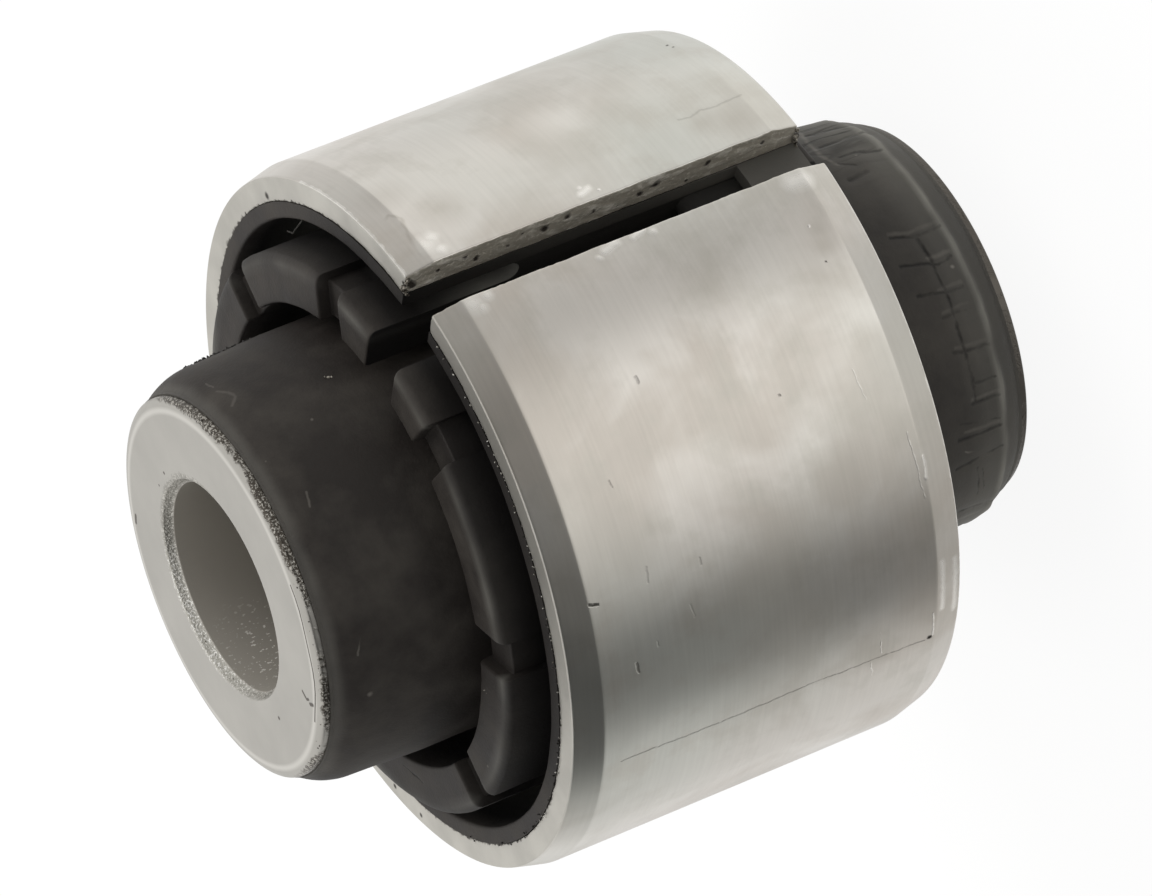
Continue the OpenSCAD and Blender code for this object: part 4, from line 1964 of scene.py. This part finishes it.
STEEL_BITS = PlainBits()
RUBBER_BITS = PlainBits("rubber_flash", "#2a2623", "#453f3a", 0.0, 0.6)
DUSTY_BITS = PlainBits("dusty_rubber_flash", "#3b3935", "#2a2825", 0.0, 0.7)
DARK_BITS = PlainBits("torn_parting_flash", "#171512", "#2b2824", 0.0, 0.6)
TORN_BITS = PlainBits("sheared_steel_burrs", "#a39d92", "#3a352f", 0.8, 0.45)
# Sparks and flash on the speckled rims, burrs at the split's corners, crumbs on the rubber.
ALL_FLECKS: tuple[Flecks, ...] = (
    Flecks("upper_rim_sparks", STEEL_BITS, "tube_steel", ring_path(11.02, 45.74, -64, -196),
           0.3, 0.14, (0.02,) * 3, (0.07, 0.07, 0.05), 3),
    Flecks("upper_rim_flash", RUBBER_BITS, "black_rubber", ring_path(11.1, 45.68, -50, -206),
           0.2, 0.14, (0.03,) * 3, (0.09, 0.09, 0.06), 5),
    Flecks("mouth_sparks", STEEL_BITS, "tube_steel", ring_path(6.45, 45.8, 66, 190),
           0.24, 0.12, (0.02,) * 3, (0.05,) * 3, 11),
    Flecks("edge_sparks", STEEL_BITS, "sleeve_steel", ring_path(19.24, 35.5, -98, -196),
           0.3, 0.14, (0.02,) * 3, (0.08, 0.08, 0.05), 12),
    Flecks("split_burrs_upper", TORN_BITS, "sleeve_steel",
           (at(19.2, -86.1, 35.44), at(20.3, -86.1, 35.4)), 0.12, 0.14, (0.06,) * 3,
           (0.22, 0.16, 0.26), 7),
    Flecks("split_burrs_lower", TORN_BITS, "sleeve_steel",
           (at(19.2, -86.1, 10.56), at(20.3, -86.1, 10.6)), 0.12, 0.14, (0.06,) * 3,
           (0.2, 0.16, 0.24), 8),
    Flecks("boss_crumbs", PaleCrumb(), "black_rubber",
           (at(12.42, -77.2, 39.0), at(12.42, -77.9, 38.6)), 0.14, 0.05, (0.04,) * 3,
           (0.1, 0.1, 0.1), 2),
    Flecks("pad_crumbs", PaleCrumb(), "black_rubber",
           (at(14.3, -168.6, 37.42), at(14.4, -169.3, 37.42)), 0.12, 0.08, (0.04,) * 3,
           (0.11, 0.11, 0.08), 4),
    Flecks("boss_flash", DARK_BITS, "black_rubber",
           (at(12.3, -33.6, 38.4), at(12.27, -34.2, 40.4), at(12.14, -33.2, 43.2)), 0.06, 0.06,
           (0.06, 0.06, 0.08), (0.11, 0.11, 0.2), 9),
    Flecks("lining_flash", DARK_BITS, "black_rubber", ring_path(19.12, 35.48, 128, 236),
           0.55, 0.16, (0.03,) * 3, (0.12, 0.12, 0.06), 10),
    Flecks("torn_flash", DUSTY_BITS, "black_rubber",
           (at(18.14, -49.2, 35.46), at(17.3, -44.2, 35.6), at(17.38, -41.2, 35.5)), 0.06, 0.02,
           (0.03, 0.03, 0.03), (0.06, 0.06, 0.06), 6),
)


# Studio


@dataclass(frozen=True)
class Flag:
    """A dark cloth or a bright lamp panel in the tent, placed by its direction in degrees."""

    azimuth: float
    elevation: float
    width: float
    height: float
    soft: float
    tone: float


@dataclass(frozen=True)
class Lamp:
    """A soft square lamp that faces the bush: direction in degrees, side in metres, watts."""

    name: str
    azimuth: float
    elevation: float
    size: float
    watts: float


@dataclass
class Studio:
    """Pale floor, soft lamps, black flags and the camera that matches the photograph."""

    camera_at: Point = (-251.188, -407.501, 219.778)
    camera_turn: Point = (-42.06667, 59.20144, -168.06595)
    lens: float = 286.983
    sensor: float = 36.0
    floor_size: float = 6.0
    floor_gap: float = 0.05
    ambient: float = 0.55
    lamp_reach: float = 1.2
    tent_reach: float = 1.1
    tent_step: int = 4
    paper: StudioPaper = StudioPaper()
    cloth: TentCloth = TentCloth()
    lamps: tuple[Lamp, ...] = (
        Lamp("key_lamp", -35, 40, 0.8, 7),
        Lamp("back_lamp", 70, 50, 0.9, 5),
        Lamp("fill_lamp", -118, 24, 0.5, 1.2),
    )
    flags: tuple[Flag, ...] = (
        Flag(170, 18, 84, 60, 14, 0.07),
        Flag(122, -1, 28, 18, 12, 0.7),
        Flag(-121, 21, 58, 54, 16, 0.15),
        Flag(-75, 18, 40, 56, 24, 0.45),
        Flag(-40, 18, 44, 56, 30, 0.75),
        Flag(2, -1, 66, 16, 12, 0.72),
        Flag(-41, -1, 18, 14, 10, 0.9),
        Flag(46, -18, 20, 14, 10, 1.14),
        Flag(-151, 4, 24, 16, 12, 0.78),
        Flag(165, -22, 44, 30, 20, 0.17),
        Flag(-162, -20, 42, 28, 14, 0.94),
        Flag(119, -20, 44, 34, 14, 0.92),
        Flag(106, -22, 22, 34, 12, 0.92),
        Flag(68, -20, 20, 30, 12, 0.88),
        Flag(88, -23, 14, 24, 10, 1.08),
        Flag(-84, -20, 32, 30, 14, 0.64),
        Flag(-122, -26, 60, 26, 16, 1.5),
        Flag(-26, -26, 50, 28, 18, 1.14),
        Flag(8, -22, 22, 24, 14, 0.92),
        Flag(106, -37, 24, 12, 10, 0.84),
        Flag(136, -44, 36, 18, 12, 0.84),
        Flag(-17, -42, 30, 18, 12, 1.2),
        Flag(-88, -50, 26, 20, 12, 0.9),
        Flag(-156, -50, 28, 20, 12, 1.12),
        Flag(-164, -52, 156, 20, 10, 0.56),
    )

    def camera(self) -> None:
        """Sets the camera where the photograph was taken from."""
        data = bpy.data.cameras.new("camera")
        data.lens, data.sensor_width = self.lens, self.sensor
        data.sensor_fit = "HORIZONTAL"
        data.clip_start, data.clip_end = 0.01, 20.0
        camera = add_object("camera", data)
        camera.location = Vector(self.camera_at) * MM
        camera.rotation_euler = Euler([math.radians(a) for a in self.camera_turn], "XYZ")
        bpy.context.scene.camera = camera

    def floor(self) -> None:
        """Lays the white paper that the bush stands on."""
        half = self.floor_size / 2
        mesh = bpy.data.meshes.new("floor")
        low = -self.floor_gap * MM
        corners = [(-half, -half, low), (half, -half, low), (half, half, low), (-half, half, low)]
        mesh.from_pydata(corners, [], [(0, 1, 2, 3)])
        mesh.materials.append(self.paper.material())
        floor = add_object("floor", mesh)
        floor.visible_glossy = False

    def world(self) -> None:
        """Makes the surroundings white to the eye and a soft grey dome to the lamps' light."""
        world = bpy.data.worlds.new("studio")
        world.use_nodes = True
        tree = world.node_tree
        tree.nodes.clear()
        dome, white = [
            add_node(tree, "Background", {"Color": "#ffffff", "Strength": strength})
            for strength in (self.ambient, 1.0)
        ]
        mixed = add_node(tree, "MixShader", (seen_directly(tree), dome, white))
        add_node(tree, "OutputWorld", (mixed,))
        bpy.context.scene.world = world

    def hang(self, given: Lamp) -> None:
        """Hangs one lamp, which lights the bush but doesn't show in its steel.

        Args:
            given: The lamp.
        """
        data = bpy.data.lights.new(given.name, "AREA")
        data.shape, data.size, data.energy = "SQUARE", given.size, given.watts
        lamp = add_object(given.name, data)
        up = math.radians(given.elevation)
        back = Vector(at(math.cos(up), given.azimuth, math.sin(up)))
        lamp.location = Vector((0, 0, MIDDLE * MM)) + back * self.lamp_reach
        lamp.visible_glossy = False
        lamp.rotation_mode = "QUATERNION"
        lamp.rotation_quaternion = (-back).to_track_quat("-Z", "Y")

    def tent(self) -> None:
        """Hangs the light tent that only reflections see, white but for its flags."""
        directions = np.arange(-180, 180, self.tent_step)
        heights = np.arange(-88, 89, self.tent_step)
        azimuth, elevation = np.meshgrid(directions, heights, indexing="ij")
        tone = np.ones(azimuth.shape)
        for flag in self.flags:
            aside = (azimuth - flag.azimuth + 180) % 360 - 180
            above = elevation - flag.elevation
            away = np.maximum(np.abs(aside) - flag.width / 2, np.abs(above) - flag.height / 2)
            cover = np.clip(0.5 - away / flag.soft, 0, 1)
            tone *= 1 - (1 - flag.tone) * cover * cover * (3 - 2 * cover)
        up = np.radians(elevation)
        points = round_axis(np.cos(up), np.radians(azimuth), np.sin(up)) * self.tent_reach
        faces = loft_faces(*azimuth.shape).reshape(*azimuth.shape, 4)[:, :-1].reshape(-1, 4)
        mesh = bpy.data.meshes.new("light_tent")
        mesh.from_pydata(points.reshape(-1, 3).tolist(), [], faces.tolist())
        store_shares(mesh, "tone", tone)
        mesh.materials.append(self.cloth.material())
        tent = add_object("light_tent", mesh)
        tent.visible_camera = tent.visible_shadow = tent.visible_diffuse = False

    def build(self) -> None:
        """Sets up the whole studio."""
        self.camera()
        self.floor()
        self.world()
        self.tent()
        for lamp in self.lamps:
            self.hang(lamp)
        bpy.context.scene.view_settings.view_transform = "Standard"


# Making it all


def report(piece: bpy.types.Object) -> None:
    """Says what was made.

    Args:
        piece: The finished piece.
    """
    mesh = piece.data
    LOG.info(
        "%s: %d corners, %d faces, finishes %s",
        piece.name,
        len(mesh.vertices),
        len(mesh.polygons),
        ", ".join(m.name for m in mesh.materials if m),
    )


def main() -> None:
    """Builds the bush, then the studio round it."""
    logging.basicConfig(level=logging.INFO, format="%(name)s: %(message)s")
    RubberMoulding().place()
    BoltTube().place()
    OuterSleeve().place()
    for flecks in ALL_FLECKS:
        flecks.place()
    Studio().build()


if __name__ == "__main__":
    main()
